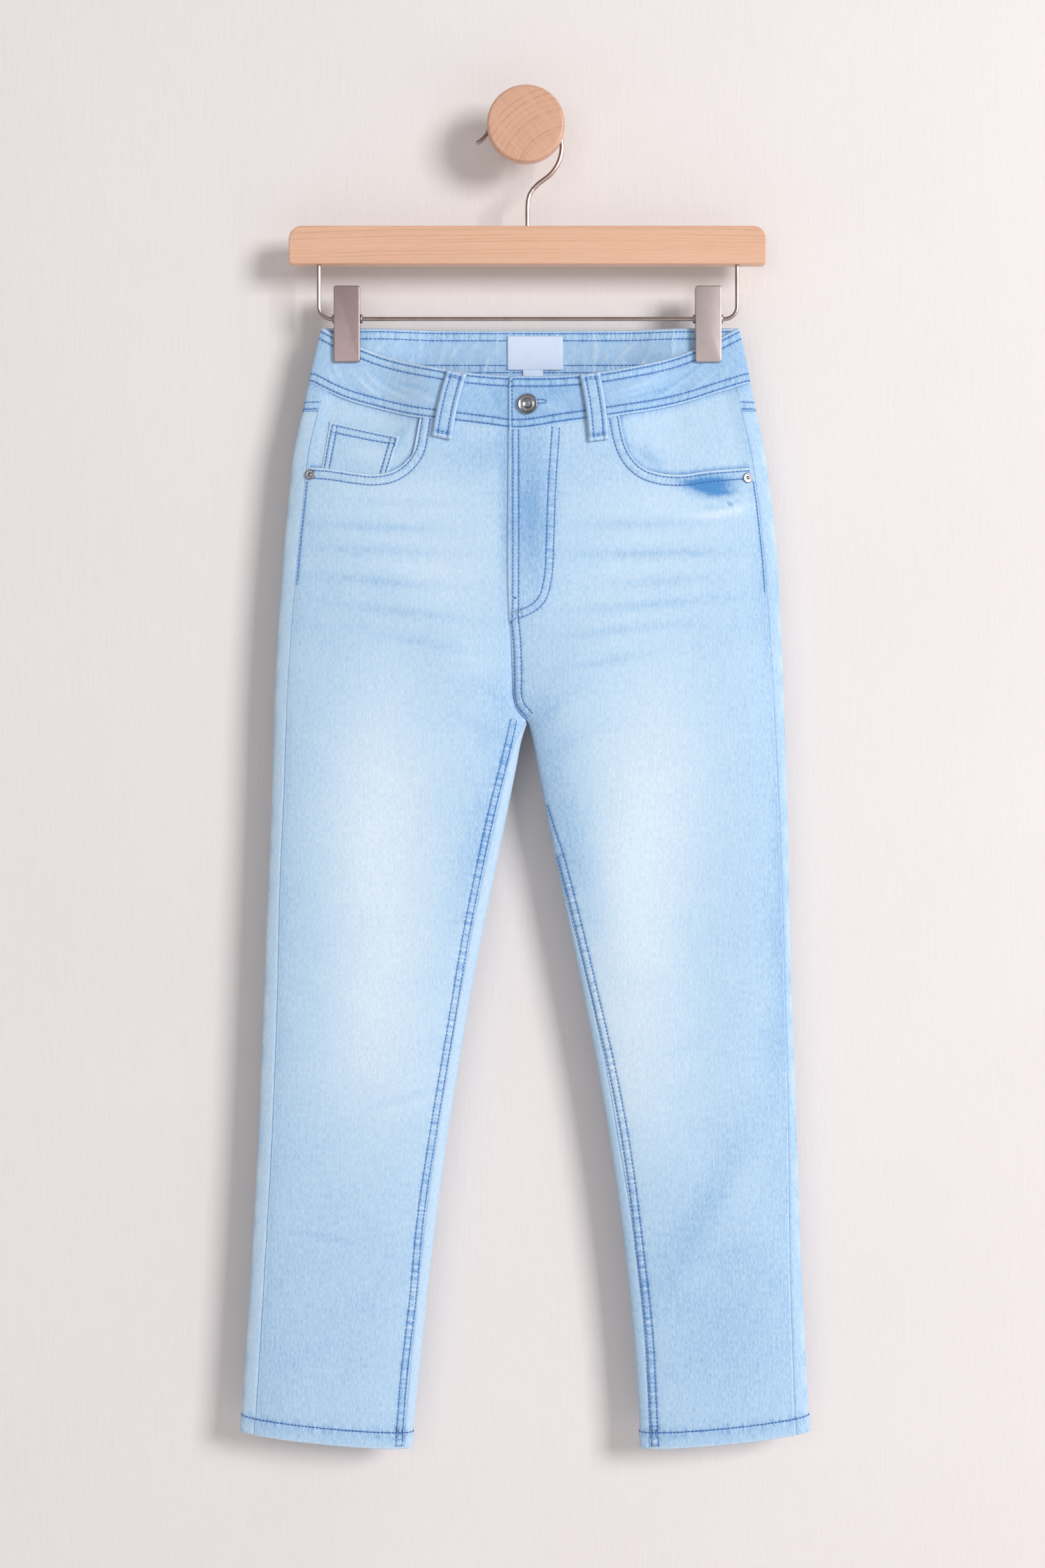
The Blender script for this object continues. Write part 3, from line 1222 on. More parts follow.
def hem_relief(side, x, z, hem):
    """The turned-up hem: twice as thick below its row of chain stitch, which ropes it: the puckers
    lean, and are deepest at the row."""
    up = z - hem
    turned = HEM_PROUD * (1 - ease(up, HEM_HEIGHT - 0.4 * MM, HEM_HEIGHT + 1.4 * MM))
    rope = np.sin((x + 0.45 * up) / (2.1 * MM) + 1.6 * np.sin(x / (9 * MM)) + SIGN[side])
    at_row = bell(up - HEM_HEIGHT, 5.5 * MM)
    return turned + (0.20 * rope * at_row - 0.35 * bell(up - HEM_HEIGHT, MM)) * MM


def front_turns(side, heights, columns=FRONT_COLUMNS):
    """From the centre or inner seam across the front to the side seam."""
    start = inseam(side, heights, SEAM_GAP)
    return start + (outseam(side, heights, -SEAM_GAP) - start) * columns


def front_top(side):
    """The front's upper edge: the pocket opening by the side seam, and the waist seam inside it. Heights
    and turns are found together, in a few rounds."""
    z = WAIST_SEAM_SIDE
    inner_end = np.min(np.abs(POCKET[side]["x"]))
    for _ in range(5):
        turn = front_turns(side, z)
        x = skin(side, turn, z)[..., 0]
        seam = waist_seam(side, turn) - SEAM_GAP
        z = np.where(np.abs(x) > inner_end, read(POCKET[side], "z", x), seam)
    return z


def seam_groove(side, turns, z):
    """Where two panels meet the cloth turns down into the seam: a bell-shaped hollow, and how far
    each point lies from that seam."""
    low, high = turns[:, :1], turns[:, -1:]
    width = width_of(side, z) * 1.3
    inward = np.minimum(np.abs(turns - low), np.abs(turns - high)) * width
    return -0.7 * MM * bell(inward, 1.1 * MM), inward


def by_hem(field, up, run):
    """The seam field with the hem's row in it, for points this far above the hem's edge."""
    far = np.abs(up - HEM_HEIGHT)
    closer = far < field[..., 1]
    field[closer] = seam_field(run + 20, far, 0, 0.5)[closer]
    return field


def by_fork(z):
    """0 at the crotch and below, and 1 from a centimetre above it."""
    return ease(z, CROTCH_Z, CROTCH_Z + 10 * MM)


def over_fly(relief, centre, z):
    """The left front is raised by the fly under it, and by the lap of its own centre edge."""
    raised = relief + FLY_RISE * bell(centre, 34 * MM, 6) * ease(z, FLY_END - 3 * MM, FLY_END)
    return raised + 0.5 * MM * bell(centre, 7 * MM, 4) * by_fork(z)


def front_surface(side, turns, heights, hem):
    """The front's relief, tone and seam field, at the grid's points."""
    x = skin(side, turns, heights)[..., 0]
    pairs = front_rows[side]
    relief = sewn_relief(pairs, x, heights) + hem_relief(side, x, heights, hem)
    groove, inward = seam_groove(side, turns, heights)
    above_fork = by_fork(heights)
    relief += groove * (1 - above_fork * 0.6)
    tone = wash(x, heights, False, pairs)
    # a pale ridge beside each seam, worn where the allowance lies under it, and the deep line itself
    scuff = 0.5 + 0.5 * np.sin(heights / (5 * MM) + 2 * np.sin(heights / (13 * MM)))
    ridge = (0.30 + 0.25 * scuff) * bell(inward - 2.0 * MM, 1.2 * MM) - 0.4 * bell(inward, 0.6 * MM)
    tone += (ridge - 0.16 * bell(inward, 7 * MM)) * (1 - 0.8 * above_fork)
    opening, _ = near(edge_of_pocket(side), x, heights, 12 * MM)
    tone += 0.40 * bell(opening, 0.9 * MM)
    relief += 0.35 * MM * bell(opening, 8 * MM, 4) + 0.35 * MM * bell(opening, 1.3 * MM)
    centre = np.abs(x - read(CENTRE, "x", heights))
    if side == "left":
        relief = over_fly(relief, centre, heights)
        tone += 0.30 * bell(centre, 0.9 * MM) * above_fork
    else:
        relief -= 0.5 * MM * bell(centre, 6 * MM) * above_fork
        tone -= 0.20 * bell(centre, 1.4 * MM) * above_fork
    hem_up = heights - hem
    tone -= 0.22 * bell(hem_up - 0.9 * HEM_HEIGHT, 5 * MM) + 0.06 * (1 - ease(hem_up, 0, HEM_HEIGHT))
    tone += 0.35 * bell(hem_up, 1.1 * MM)
    return relief, tone, by_hem(sewn_field(pairs, x, heights), hem_up, x)


def panel_walls(side, turns, heights, relief):
    """A panel's outer face, and its inner face, which takes up no more than a little of the relief."""
    inner = skin(side, turns, heights, np.minimum(relief, 0.3 * MM) - CLOTH_WALL)
    return skin(side, turns, heights, relief), inner


# the width and length of the rectangle that a panel is cut from, and the panel's flat area
FRONT_CUT = {"right": ((0.205, 0.84), 0.123), "left": ((0.22, 0.84), 0.134)}
for side in SIGN:
    hem = hem_z(front_turns(side, HEM_INNER_Z))
    heights = leg_heights(front_top(side), hem, *FRONT_GRID)
    turns = front_turns(side, heights)
    relief, tone, field = front_surface(side, turns, heights, hem)
    outer, inner = panel_walls(side, turns, heights, relief)
    if side == "left":
        # the fly's folded edge reaches over the right front
        reach = FLY_LAP * (1 - ease(np.abs(outer[..., 0] - outer[:, :1, 0]), 0, 7 * MM))
        reach = reach * ease(heights, FLY_END - 2 * MM, FLY_END + 2 * MM)
        for face in (outer, inner):
            face[..., 0] -= reach
    front = shell("front_" + side + "_cloth", outer, inner, tone, pale_denim, sewn=field)
    sew_on(front, "front_" + side, "denim", *FRONT_CUT[side])

# ---------------------------------------------------------------------------------------------------
# The back panels and yokes, of the same denim. The backs are wider than the fronts, so they fold
# over both edges of each leg and meet the fronts a finger's width inside them.

across_back, over_edge = uneven(70, (0, 0.05, 3.0), (1, 0.06, 1.5)), uneven(14, (1, 0.3, 1.0))
BACK_COLUMNS = np.concatenate([uneven(18, (0, 0.3, 1.5)), 1 + across_back[1:], 2 + over_edge[1:]])


def back_turns(side, heights, columns=BACK_COLUMNS):
    """From the side seam over the outer edge, across the back, and over the inner edge."""
    start = outseam(side, heights, SEAM_GAP)
    end = 2 + inseam(side, heights, -SEAM_GAP)
    edge = np.minimum(BACK_EDGE_TURN + (2 - BACK_EDGE_TURN) * legs_share(heights), end - 0.02)
    across = (1 - start) * np.clip(columns, 0, 1) + (edge - 1) * np.clip(columns - 1, 0, 1)
    return start + across + (end - edge) * np.clip(columns - 2, 0, 1)


def back_surface(side, turns, heights, hem):
    """The back's relief and tone. Deeper blue where it wraps on to the front."""
    x = skin(side, turns, heights)[..., 0]
    relief = hem_relief(side, x, heights, hem)
    groove, inward = seam_groove(side, turns, heights)
    above_fork = by_fork(heights)
    relief += groove * (1 - 0.6 * above_fork)
    back = is_back(turns)
    tone = wash(x, heights, back)
    wrapped = 0.20 if side == "right" else 0.02
    tone = np.where(back, tone, soft_spots(FRONT_WASH, x, heights) * 0.3 + wrapped)
    tone -= 0.30 * bell(inward, 0.6 * MM) + 0.06 * bell(inward, 4 * MM)
    # bleached and scuffed by turns along the folded outer edge
    out = np.abs(x - outer_x(side, heights, 0))
    scuff = np.sin(heights / (7 * MM) + 2.2 * np.sin(heights / (23 * MM)))
    tone += (0.08 + 0.20 * scuff) * bell(out, 3.5 * MM)
    hem_up = heights - hem
    tone -= 0.22 * bell(hem_up - 0.9 * HEM_HEIGHT, 5 * MM)
    return relief, tone, by_hem(seam_field(x, FAR_OFF, 0, 0), hem_up, x)


BACK_GRID = (28, 216, 26)
BACK_CUT = {"right": ((0.26, 0.85), 0.158), "left": ((0.27, 0.85), 0.160)}
YOKE_ROWS = (2.0, 7.6)
YOKE_CUT = {"right": ((0.175, 0.062), 0.0082), "left": ((0.205, 0.062), 0.0095)}
for side in SIGN:
    top = yoke_seam(back_turns(side, YOKE_SIDE_Z)) - SEAM_GAP
    hem = hem_z(back_turns(side, HEM_INNER_Z))
    heights = leg_heights(top, hem, *BACK_GRID)
    turns = back_turns(side, heights)
    relief, tone, field = back_surface(side, turns, heights, hem)
    relief -= 0.5 * MM * bell(top - heights, 1.5 * MM)
    outer, inner = panel_walls(side, turns, heights, relief)
    back = shell("back_" + side + "_cloth", outer, inner, tone, pale_denim, (0.4, 0), field)
    sew_on(back, "back_" + side, "denim", *BACK_CUT[side], ["yoke_" + side])

    # the yoke
    turns = back_turns(side, YOKE_SIDE_Z)
    top = waist_seam(side, turns) - SEAM_GAP
    low = yoke_seam(turns) + SEAM_GAP
    heights = top + (low - top) * np.linspace(0, 1, 26)[:, None]
    turns = back_turns(side, heights)
    from_edge = np.minimum(top - heights, heights - low)
    relief = 0.25 * MM - 0.6 * MM * bell(from_edge, 1.4 * MM)
    for row in YOKE_ROWS:
        relief -= ROW_DEPTH * bell(heights - low - row * MM, ROW_WIDTH)
    x = skin(side, turns, heights)[..., 0]
    tone = np.where(is_back(turns), wash(x, heights, True), -0.10)
    tone = tone - 0.15 * bell(from_edge, 5 * MM) - 0.5 * bell(from_edge, 0.7 * MM)
    field = seam_field(x, np.abs(heights - low - 4.8 * MM), 2.8 * MM, 0.5)
    outer = skin(side, turns, heights, relief)
    inner = skin(side, turns, heights, relief - CLOTH_WALL)
    yoke = shell("yoke_" + side + "_cloth", outer, inner, tone, pale_denim, (0.7, 0), field)
    sew_on(yoke, "yoke_" + side, "denim", *YOKE_CUT[side])

# ---------------------------------------------------------------------------------------------------
# Inside the pocket openings: a denim facing on each side, and on the wearer's right a coin pocket,
# folded at its top edge and sewn down with two rows and a bar tack at its inner corner.

FACING_COLUMNS = uneven(60, (0, 0.06, 1.5), (1, 0.06, 1.0)) * 0.66 + 0.34
FACING_OFF = -1.9 * MM
COIN_TOP_X, COIN_TOP_Z, COIN_LOW_X = (-157, -102), (-236.6, -249.6), (-164, -112)
COIN_WIDTH, COIN_DEPTH, COIN_ROWS = 54, 31, (1.6, 5.8)
FACING_CREASES = (
    (96, -262, 16, 3.0, 0.9, -32),
    (104, -256, 14, 2.4, -0.5, -30),
    (118, -240, 30, 12, 0.6, 12),
    (150, -262, 26, 6, -0.5, 20),
    (-150, -262, 20, 8, 0.5, 14),
    (-98, -250, 12, 4, 0.5, 62),
)


FACING_CUT = {"right": ((0.105, 0.087), 0.0059), "left": ((0.122, 0.09), 0.0072)}
for side in SIGN:
    z = WAIST_SEAM_SIDE
    for _ in range(4):
        turn = front_turns(side, z, FACING_COLUMNS)
        z = waist_seam(side, turn) - SEAM_GAP
    x = skin(side, turn, z)[..., 0]
    bottom = read(POCKET[side], "z", x) - 12 * MM
    heights = z + (bottom - z) * np.linspace(0, 1, 48)[:, None]
    turns = front_turns(side, heights, FACING_COLUMNS)
    x = skin(side, turns, heights)[..., 0]
    relief = soft_spots(FACING_CREASES, x, heights) * MM - 0.4 * MM * bell(z - heights, 1.6 * MM)
    relief -= (FACING_OFF + 0.15 * MM) * ease(FACING_COLUMNS, 0.90, 1.0)
    opening, _ = near(edge_of_pocket(side), x, heights, 14 * MM)
    tone = 0.10 + wash(x, heights, False) * 0.5 - 0.75 * bell(opening, 3.0 * MM)
    tone = tone - 0.35 * bell(z - heights, 3.5 * MM)
    tone -= 0.18 * ease(FACING_COLUMNS, 0.88, 1.0) + 0.5 * ease(FACING_COLUMNS, 0.993, 1.0)
    tone += soft_spots(((100, -266, 14, 6, -0.4, -40), (-104, -252, 16, 5, -0.3, 60)), x, heights)
    outer = skin(side, turns, heights, relief + FACING_OFF)
    inner = skin(side, turns, heights, FACING_OFF - 1.2 * MM)
    facing = shell("pocket_facing_" + side + "_cloth", outer, inner, tone, pale_denim, (1.0, 0))
    sew_on(facing, "pocket_facing_" + side, "denim", *FACING_CUT[side])


def between(ends, share):
    """The place at this share of the way between two ends in millimetres, in metres."""
    return (ends[0] + (ends[1] - ends[0]) * share) * MM


def coin_place(s, r):
    """x and z at the shares across and down the coin pocket."""
    top_x, top_z = between(COIN_TOP_X, s), between(COIN_TOP_Z, s)
    x = top_x + (between(COIN_LOW_X, s) - top_x) * r
    return x, top_z + (read(POCKET["right"], "z", x) - 2.5 * MM - top_z) * r


COIN_OFF = FACING_OFF + 0.9 * MM
s, r = np.meshgrid(uneven(56, (0, 0.1, 1), (1, 0.1, 1)), uneven(40, (0, 0.12, 1.5)))
x, z = coin_place(s, r)
down, from_left, from_right = r * COIN_DEPTH * MM, s * COIN_WIDTH * MM, (1 - s) * COIN_WIDTH * MM
relief = np.zeros(x.shape)
tone = np.full(x.shape, -0.02) + soft_spots(((-124, -262, 22, 9, 0.25, -12),), x, z)
for distance in (down, from_left, from_right):
    relief += 0.45 * MM * bell(distance, 6.5 * MM, 4)
    tone += 0.35 * bell(distance, 1.0 * MM) - 0.03 * bell(distance, 6 * MM, 4)
    for row in COIN_ROWS:
        relief -= ROW_DEPTH * bell(distance - row * MM, ROW_WIDTH)
relief += 0.5 * MM * bell(down, 1.6 * MM)
at_side = np.minimum(from_left, from_right)
run = np.where(down < at_side, from_left, 1 + down)
field = seam_field(run, np.abs(np.minimum(down, at_side) - 3.7 * MM), 2.1 * MM, 0.1)
outer, inner = on_face(x, z, COIN_OFF + relief), on_face(x, z, COIN_OFF - 0.8 * MM)
coin = shell("coin_pocket_cloth", outer, inner, tone, pale_denim, (1.2, 0), field)
sew_on(coin, "coin_pocket", "denim", (0.056, 0.045), 0.0022, ["pocket_facing_right"])

# ---------------------------------------------------------------------------------------------------
# The waistband: one straight-grained band folded double over interlining, a little deeper in colour,
# with two rows of stitching along each edge. The left end laps over the right at the button.

BAND_PROUD, BAND_WALL = 0.5 * MM, 2.6 * MM
BAND_ROWS = (1.7, 7.4)  # mm from the top edge, and from the seam
BAND_MIDDLE = sum(BAND_ROWS) / 2 * MM
INSIDE_RISE = 8.6 * MM  # how much higher the lower rows lie inside
LAP_X, LAP_RISE, LAP_CORNER = -12.3 * MM, 1.3 * MM, 6 * MM
band_denim = denim("washed_stretch_denim_band", "#4884C8", "#A2C8EC", "#D4E8FA")
BAND_CREASES = (
    # drag lines from the clips
    (-129, -207, 14, 1.7, 0.95, -43),
    (-133, -213, 12, 1.5, -0.6, -40),
    (-124, -202, 10, 1.3, 0.6, -48),
    (-108, -213, 17, 1.8, 0.75, -29),
    (-112, -206, 14, 1.4, -0.5, -34),
    (-97, -207, 20, 2.0, -0.45, -20),
    (-92, -213, 16, 1.4, 0.5, -22),
    (-84, -219, 16, 1.8, 0.45, -12),
    (-152, -196, 9, 2.0, 0.5, -60),
    (-156, -203, 8, 1.4, 0.5, -66),
    (92, -208, 24, 2.0, 0.80, 18),
    (98, -214, 20, 1.6, -0.5, 16),
    (84, -216, 16, 1.4, 0.5, 14),
    (122, -206, 18, 1.6, 0.90, 38),
    (130, -198, 16, 1.5, -0.6, 42),
    (139, -206, 14, 1.5, 0.6, 40),
    (113, -209, 14, 1.3, -0.5, 34),
    (104, -200, 14, 1.5, 0.5, 28),
    (160, -196, 9, 2.0, 0.5, 62),
    (165, -204, 8, 1.4, 0.5, 66),
    # round the button
    (20, -226, 12, 2.6, 0.55, -24),
    (24, -214, 14, 3.0, -0.4, 12),
    (-24, -222, 10, 3.0, -0.5, -64),
    (-34, -214, 14, 3.0, 0.4, -50),
)
# Inside, the back band is crushed in short lines where it folds over the wearer's waist.
INSIDE_CREASES = []
for x in range(-132, 150, 9):
    height, angle = 0.6 + 0.25 * math.sin(3 * x), 66 + 22 * math.sin(2 * x)
    INSIDE_CREASES.append((x, -182 + 9 * math.sin(x), 9 + 3 * math.cos(x), 1.6, height, angle))


def band_grid(side, turns, rows=44):
    """The band's heights, rows by columns, with its upper and its lower edge."""
    top, seam = waist_top(side, turns), waist_seam(side, turns) + SEAM_GAP
    return top + (seam - top) * uneven(rows, (0, 0.12, 1.2), (1, 0.12, 1.2))[:, None], top, seam


def band_relief(x, heights, top, seam, front):
    """The band's height, tone and seam field: a round folded top edge, four sewn valleys, a ridge
    between each two rows, and the drag lines."""
    down, up = top - heights, heights - seam
    relief, tone = np.zeros(heights.shape), np.full(heights.shape, -0.02)
    for distance in (down, up):
        for row in BAND_ROWS:
            relief -= 0.30 * MM * bell(distance - row * MM, ROW_WIDTH)
            tone -= 0.10 * bell(distance - row * MM, 2.0 * MM)
        relief += 0.2 * MM * bell(distance - BAND_MIDDLE, 2.3 * MM)
        tone += 0.10 * bell(distance - BAND_MIDDLE, 1.8 * MM) + 0.45 * bell(distance, 0.9 * MM)
    relief -= 0.45 * MM * bell(up, 1.0 * MM)
    dragged = np.where(front, soft_spots(BAND_CREASES, x, heights), 0)
    relief += dragged * 1.1 * MM
    tone += dragged * 0.35
    tone -= np.where(front, 0.15 * bell(x - 4 * MM, 30 * MM), 0.05)
    tone += np.where(front, 0.18 * ease(-x, 40 * MM, 100 * MM), 0)
    far = np.abs(np.minimum(down, up) - BAND_MIDDLE)
    field = seam_field(x + np.where(down < up, 0, 1), far, BAND_MIDDLE - BAND_ROWS[0] * MM, 0.5)
    return relief, tone, field


half = uneven(150, (0, 0.02, 2.0), (1, 0.05, 2.0))
half = np.concatenate([half, 2 - half[-2::-1]])
LAP_TURN = 0.1
stretches = [("left", half, False), ("right", half[-2:0:-1], False)]
stretches.append(("left", np.linspace(0.003, LAP_TURN, 24), True))
parts = []
for side, turns, under in stretches:
    heights, top, seam = band_grid(side, turns)
    turns = turns + 0 * heights
    x = skin(side, turns, heights)[..., 0]
    front = turns <= 1
    relief, tone, field = band_relief(x, heights, top, seam, front)
    off = np.full(heights.shape, BAND_PROUD)
    from_end = np.abs(x - LAP_X)
    if under:
        off -= BAND_WALL + 0.3 * MM
    elif side == "right":
        off -= (BAND_WALL + 0.3 * MM) * np.where(front, 1 - ease(from_end, 0.4 * MM, 2.2 * MM), 0)
        tone = tone - np.where(front, 0.5 * bell(from_end, 3 * MM), 0)
    else:
        off += LAP_RISE * np.where(front, bell(from_end, 26 * MM, 4), 0)
        tone = tone + 0.30 * np.where(front, bell(from_end, 1.0 * MM), 0)
        relief -= np.where(front, 0.3 * MM * bell(from_end - 2.2 * MM, ROW_WIDTH), 0)
    deep = soft_spots(INSIDE_CREASES, x, heights) * np.where(front, 0, 1)
    outer = skin(side, turns, heights, off + relief)
    wall = np.where(front & (side == "left" and not under), BAND_WALL * 0.8, BAND_WALL)
    inner = skin(side, turns, heights, off - wall - deep * MM + np.where(front, 0, relief * 0.5))
    if side == "left" and not under:
        # the lapped end's upper corner is round
        corner = np.clip(1 - from_end / LAP_CORNER, 0, 1) * np.where(front, 1, 0)
        drop = LAP_CORNER * (1 - np.sqrt(1 - corner**2)) * bell(top - heights, 7 * MM)
        shift = LAP_X - 0.9 * MM - outer[:, :1, 0]
        fade = 1 - ease(np.abs(outer[..., 0] - outer[:, :1, 0]), 0, 6 * MM)
        for face in (outer, inner):
            face[..., 2] -= drop * 0.5
            face[..., 0] += shift * fade * front
    down, up = top - heights, heights - seam - INSIDE_RISE
    far = np.minimum(np.abs(down - BAND_MIDDLE), np.abs(up - BAND_MIDDLE))
    inside = seam_field(x, far, BAND_MIDDLE - BAND_ROWS[0] * MM, 0.8)
    parts.append((outer, inner, tone, field, 0.20 + 0.55 * deep, inside))
outer, inner, tone, field, paler, inside = (np.concatenate(part, axis=1) for part in zip(*parts))
band = shell(
    "waistband_cloth", outer, inner, tone, band_denim, (1.6, 0), field, paler.reshape(-1), inside
)
jaws = [clip + jaw for clip in CLIP_X for jaw in ("_front_jaw", "_back_jaw")]
sew_on(band, "waistband", "band_denim", (0.73, 0.048), 0.033, jaws)

# ---------------------------------------------------------------------------------------------------
# Five belt loops: a strip of the band's denim, its edges folded in and held by two lengthwise rows,
# turned under at both ends and bar tacked over the band.

BELT_LOOPS = {
    "belt_loop_front_right": (-55.5, -199.6, -67.0, -250.3, False),
    "belt_loop_front_left": (51.1, -200.6, 58.1, -252.4, False),
    "belt_loop_back_right": (-108, -162.5, -110, -214, True),
    "belt_loop_back_centre": (-12.2, -162.5, -12.2, -214, True),
    "belt_loop_back_left": (86, -162.5, 88, -214, True),
}
LOOP_WIDTH, LOOP_WALL, LOOP_RISE = 15 * MM, 2.0 * MM, 1.6 * MM
LOOP_ROWS, LOOP_LENGTH = (-3.9, 3.9), 52


def loop_place(name, across, down):
    """x and z at a distance across a loop from its middle line, and a share down it."""
    top_x, top_z, low_x, low_z, _ = BELT_LOOPS[name]
    length = math.hypot(low_x - top_x, low_z - top_z)
    lean_x, lean_z = (low_x - top_x) / length, (low_z - top_z) / length
    bow = 1.1 * MM * math.copysign(1, top_x) * np.sin(math.pi * down)
    run = length * MM * down
    x = top_x * MM + lean_x * run - lean_z * (across + bow)
    return x, top_z * MM + lean_z * run + lean_x * (across + bow)


def loop_off(down):
    """How far a loop stands off the panels: it springs from both tacked ends."""
    return BAND_PROUD + 1.0 * MM + LOOP_RISE * np.sin(math.pi * down) ** 0.6


for name, (*_, back) in BELT_LOOPS.items():
    across = (uneven(30, (0, 0.1, 1), (1, 0.1, 1)) - 0.5) * LOOP_WIDTH
    across, down = np.meshgrid(across, uneven(70, (0, 0.1, 1), (1, 0.1, 1)))
    x, z = loop_place(name, across, down)
    from_side = LOOP_WIDTH / 2 - np.abs(across)
    from_end = np.minimum(down, 1 - down) * LOOP_LENGTH * MM
    relief = 0.5 * MM * bell(from_side, 3.0 * MM, 4)
    relief -= 0.8 * MM * bell(from_side, 0.5 * MM)
    for row in LOOP_ROWS:
        relief -= ROW_DEPTH * bell(across - row * MM, ROW_WIDTH)
    relief += 0.9 * MM * bell(from_end, 4.0 * MM, 4)
    relief -= 0.5 * MM * bell(from_end - 3.2 * MM, 0.8 * MM)
    tone = 0.18 + 0.5 * bell(from_side, 0.9 * MM) - 0.1 * bell(from_side, 3.4 * MM, 4)
    tone += 0.35 * bell(from_end, 1.2 * MM) - 0.35 * bell(from_end - 4 * MM, 2 * MM)
    field = seam_field(down * LOOP_LENGTH * MM, np.abs(across), LOOP_ROWS[1] * MM, 0.3)
    off = loop_off(down) + LOOP_WALL
    outer, inner = on_face(x, z, off + relief, back), on_face(x, z, off - LOOP_WALL, back)
    loop = shell(name + "_cloth", outer, inner, tone, band_denim, (2.0, 0), field)
    sew_on(loop, name, "band_denim", (0.0155, 0.056))

# ---------------------------------------------------------------------------------------------------
# Two patch pockets on the back, five-sided, hemmed at the top and sewn on with two rows. They are
# cut from the denim of the panels.

BACK_POCKET_X = {"right": -104, "left": 92}
BACK_POCKET_TOP, BACK_POCKET_WIDTH, BACK_POCKET_HEIGHT, BACK_POCKET_POINT = -292, 126, 118, 22
BACK_POCKET_TAPER = 0.9

def back_pocket_place(side, s, r):
    """x and z at the shares across and down a back pocket, which narrows downwards to a point."""
    half = (s - 0.5) * BACK_POCKET_WIDTH * (1 + (BACK_POCKET_TAPER - 1) * r)
    drop = BACK_POCKET_HEIGHT + BACK_POCKET_POINT * (1 - np.abs(2 * s - 1))
    return (BACK_POCKET_X[side] + half) * MM, (BACK_POCKET_TOP - drop * r) * MM


POCKET_ROWS, POCKET_ACROSS, POCKET_DOWN = (1.8, 8.0), 118, 128
POCKET_OFF = 2.0 * MM
for side in SIGN:
    s, r = np.meshgrid(uneven(76, (0, 0.08, 1), (1, 0.08, 1)), uneven(76, (0, 0.08, 1.5), (1, 0.08, 1)))
    x, z = back_pocket_place(side, s, r)
    edges = [share * POCKET_ACROSS * MM for share in (s, 1 - s)]
    edges += [share * POCKET_DOWN * MM for share in (r, 1 - r)]
    relief, tone = np.zeros(x.shape), wash(x, z, True) * 0.8 + 0.05
    nearest = np.minimum.reduce(edges)
    for row in POCKET_ROWS:
        relief -= ROW_DEPTH * bell(nearest - row * MM, ROW_WIDTH)
    relief += 0.30 * MM * bell(nearest - 4.9 * MM, 2.2 * MM)
    tone += 0.4 * bell(nearest, 1.0 * MM) - 0.22 * bell(nearest, 9 * MM, 4)
    run = np.where(r * POCKET_DOWN > POCKET_ACROSS * s, x, z)
    field = seam_field(run, np.abs(nearest - 4.9 * MM), 3.1 * MM, 0.2)
    outer, inner = on_face(x, z, POCKET_OFF + relief, True), on_face(x, z, 0.5 * MM, True)
    pocket = shell("back_pocket_" + side + "_cloth", outer, inner, tone, pale_denim, (2.4, 0), field)
    sew_on(pocket, "back_pocket_" + side, "denim", (0.127, 0.141), 0.0158, ["back_" + side])

# ---------------------------------------------------------------------------------------------------
# The label and the small tab under it, of white woven tape, sewn inside the back band, where the
# front's dip shows them. Both are blank.

LABELS = {"neck_label": (-14.6, -165.7, 29.7, -192.4), "size_tab": (-2.2, -192.8, 13.5, -206)}
LABEL_FLATS = {"neck_label": (0.0445, 0.0270), "size_tab": (0.0160, 0.0135)}
LABEL_OFF = BAND_PROUD - BAND_WALL - 0.5 * MM
TAPE_REPEAT = 0.55 * MM


def woven_tape():
    """White polyester tape: a tight ribbed weave with a soft satin gloss."""
    material, node, shader = new_material("white_woven_tape", Roughness=0.5, Sheen_Weight=0.3)
    place = node("TexCoord").outputs["Object"]
    weft = node(
        "TexWave",
        {"Vector": place, "Scale": WAVE_SPACING / TAPE_REPEAT, "Distortion": 0.6},
        bands_direction="Z",
    )
    cloud = node("TexNoise", {"Vector": place, "Scale": 150.0, "Detail": 3.0})
    tone = node("Mix", {0: cloud, 6: linear("#D0E2FD"), 7: linear("#DDEBFF")}, data_type="RGBA")
    bump = node("Bump", {"Strength": 0.25, "Distance": 0.1 * MM, "Height": weft.outputs["Fac"]})
    connect(shader, {"Base Color": tone, "Normal": bump})
    return material


tape = woven_tape()


for name, (left, top, right, bottom) in LABELS.items():
    across, down = np.meshgrid(np.linspace(0, 1, 46), np.linspace(0, 1, 30))
    x, z = (left + (right - left) * across) * MM, (top + (bottom - top) * down) * MM
    # the tape bulges a little between its sewn edges, and the tab's loop curls forward
    swell = np.sin(math.pi * across) * np.sin(math.pi * down)
    loose = 0.5 if name == "neck_label" else 0.9
    wave = loose * MM * (swell * 0.7 + 0.25 * np.sin(7 * across + 2 * down) * down)
    outer, inner = (on_face(x, z, LABEL_OFF - wall - wave, True) for wall in (0.9 * MM, 0.2 * MM))
    sewn = shell(name + "_tape", outer, inner, 0.0, tape)
    sew_on(sewn, name, "label_tape", LABEL_FLATS[name])

# ---------------------------------------------------------------------------------------------------
# The shank button and the two rivets, pressed from brass and burnished dark. The button's face carries
# two rings of plain beads, and each rivet one ring.

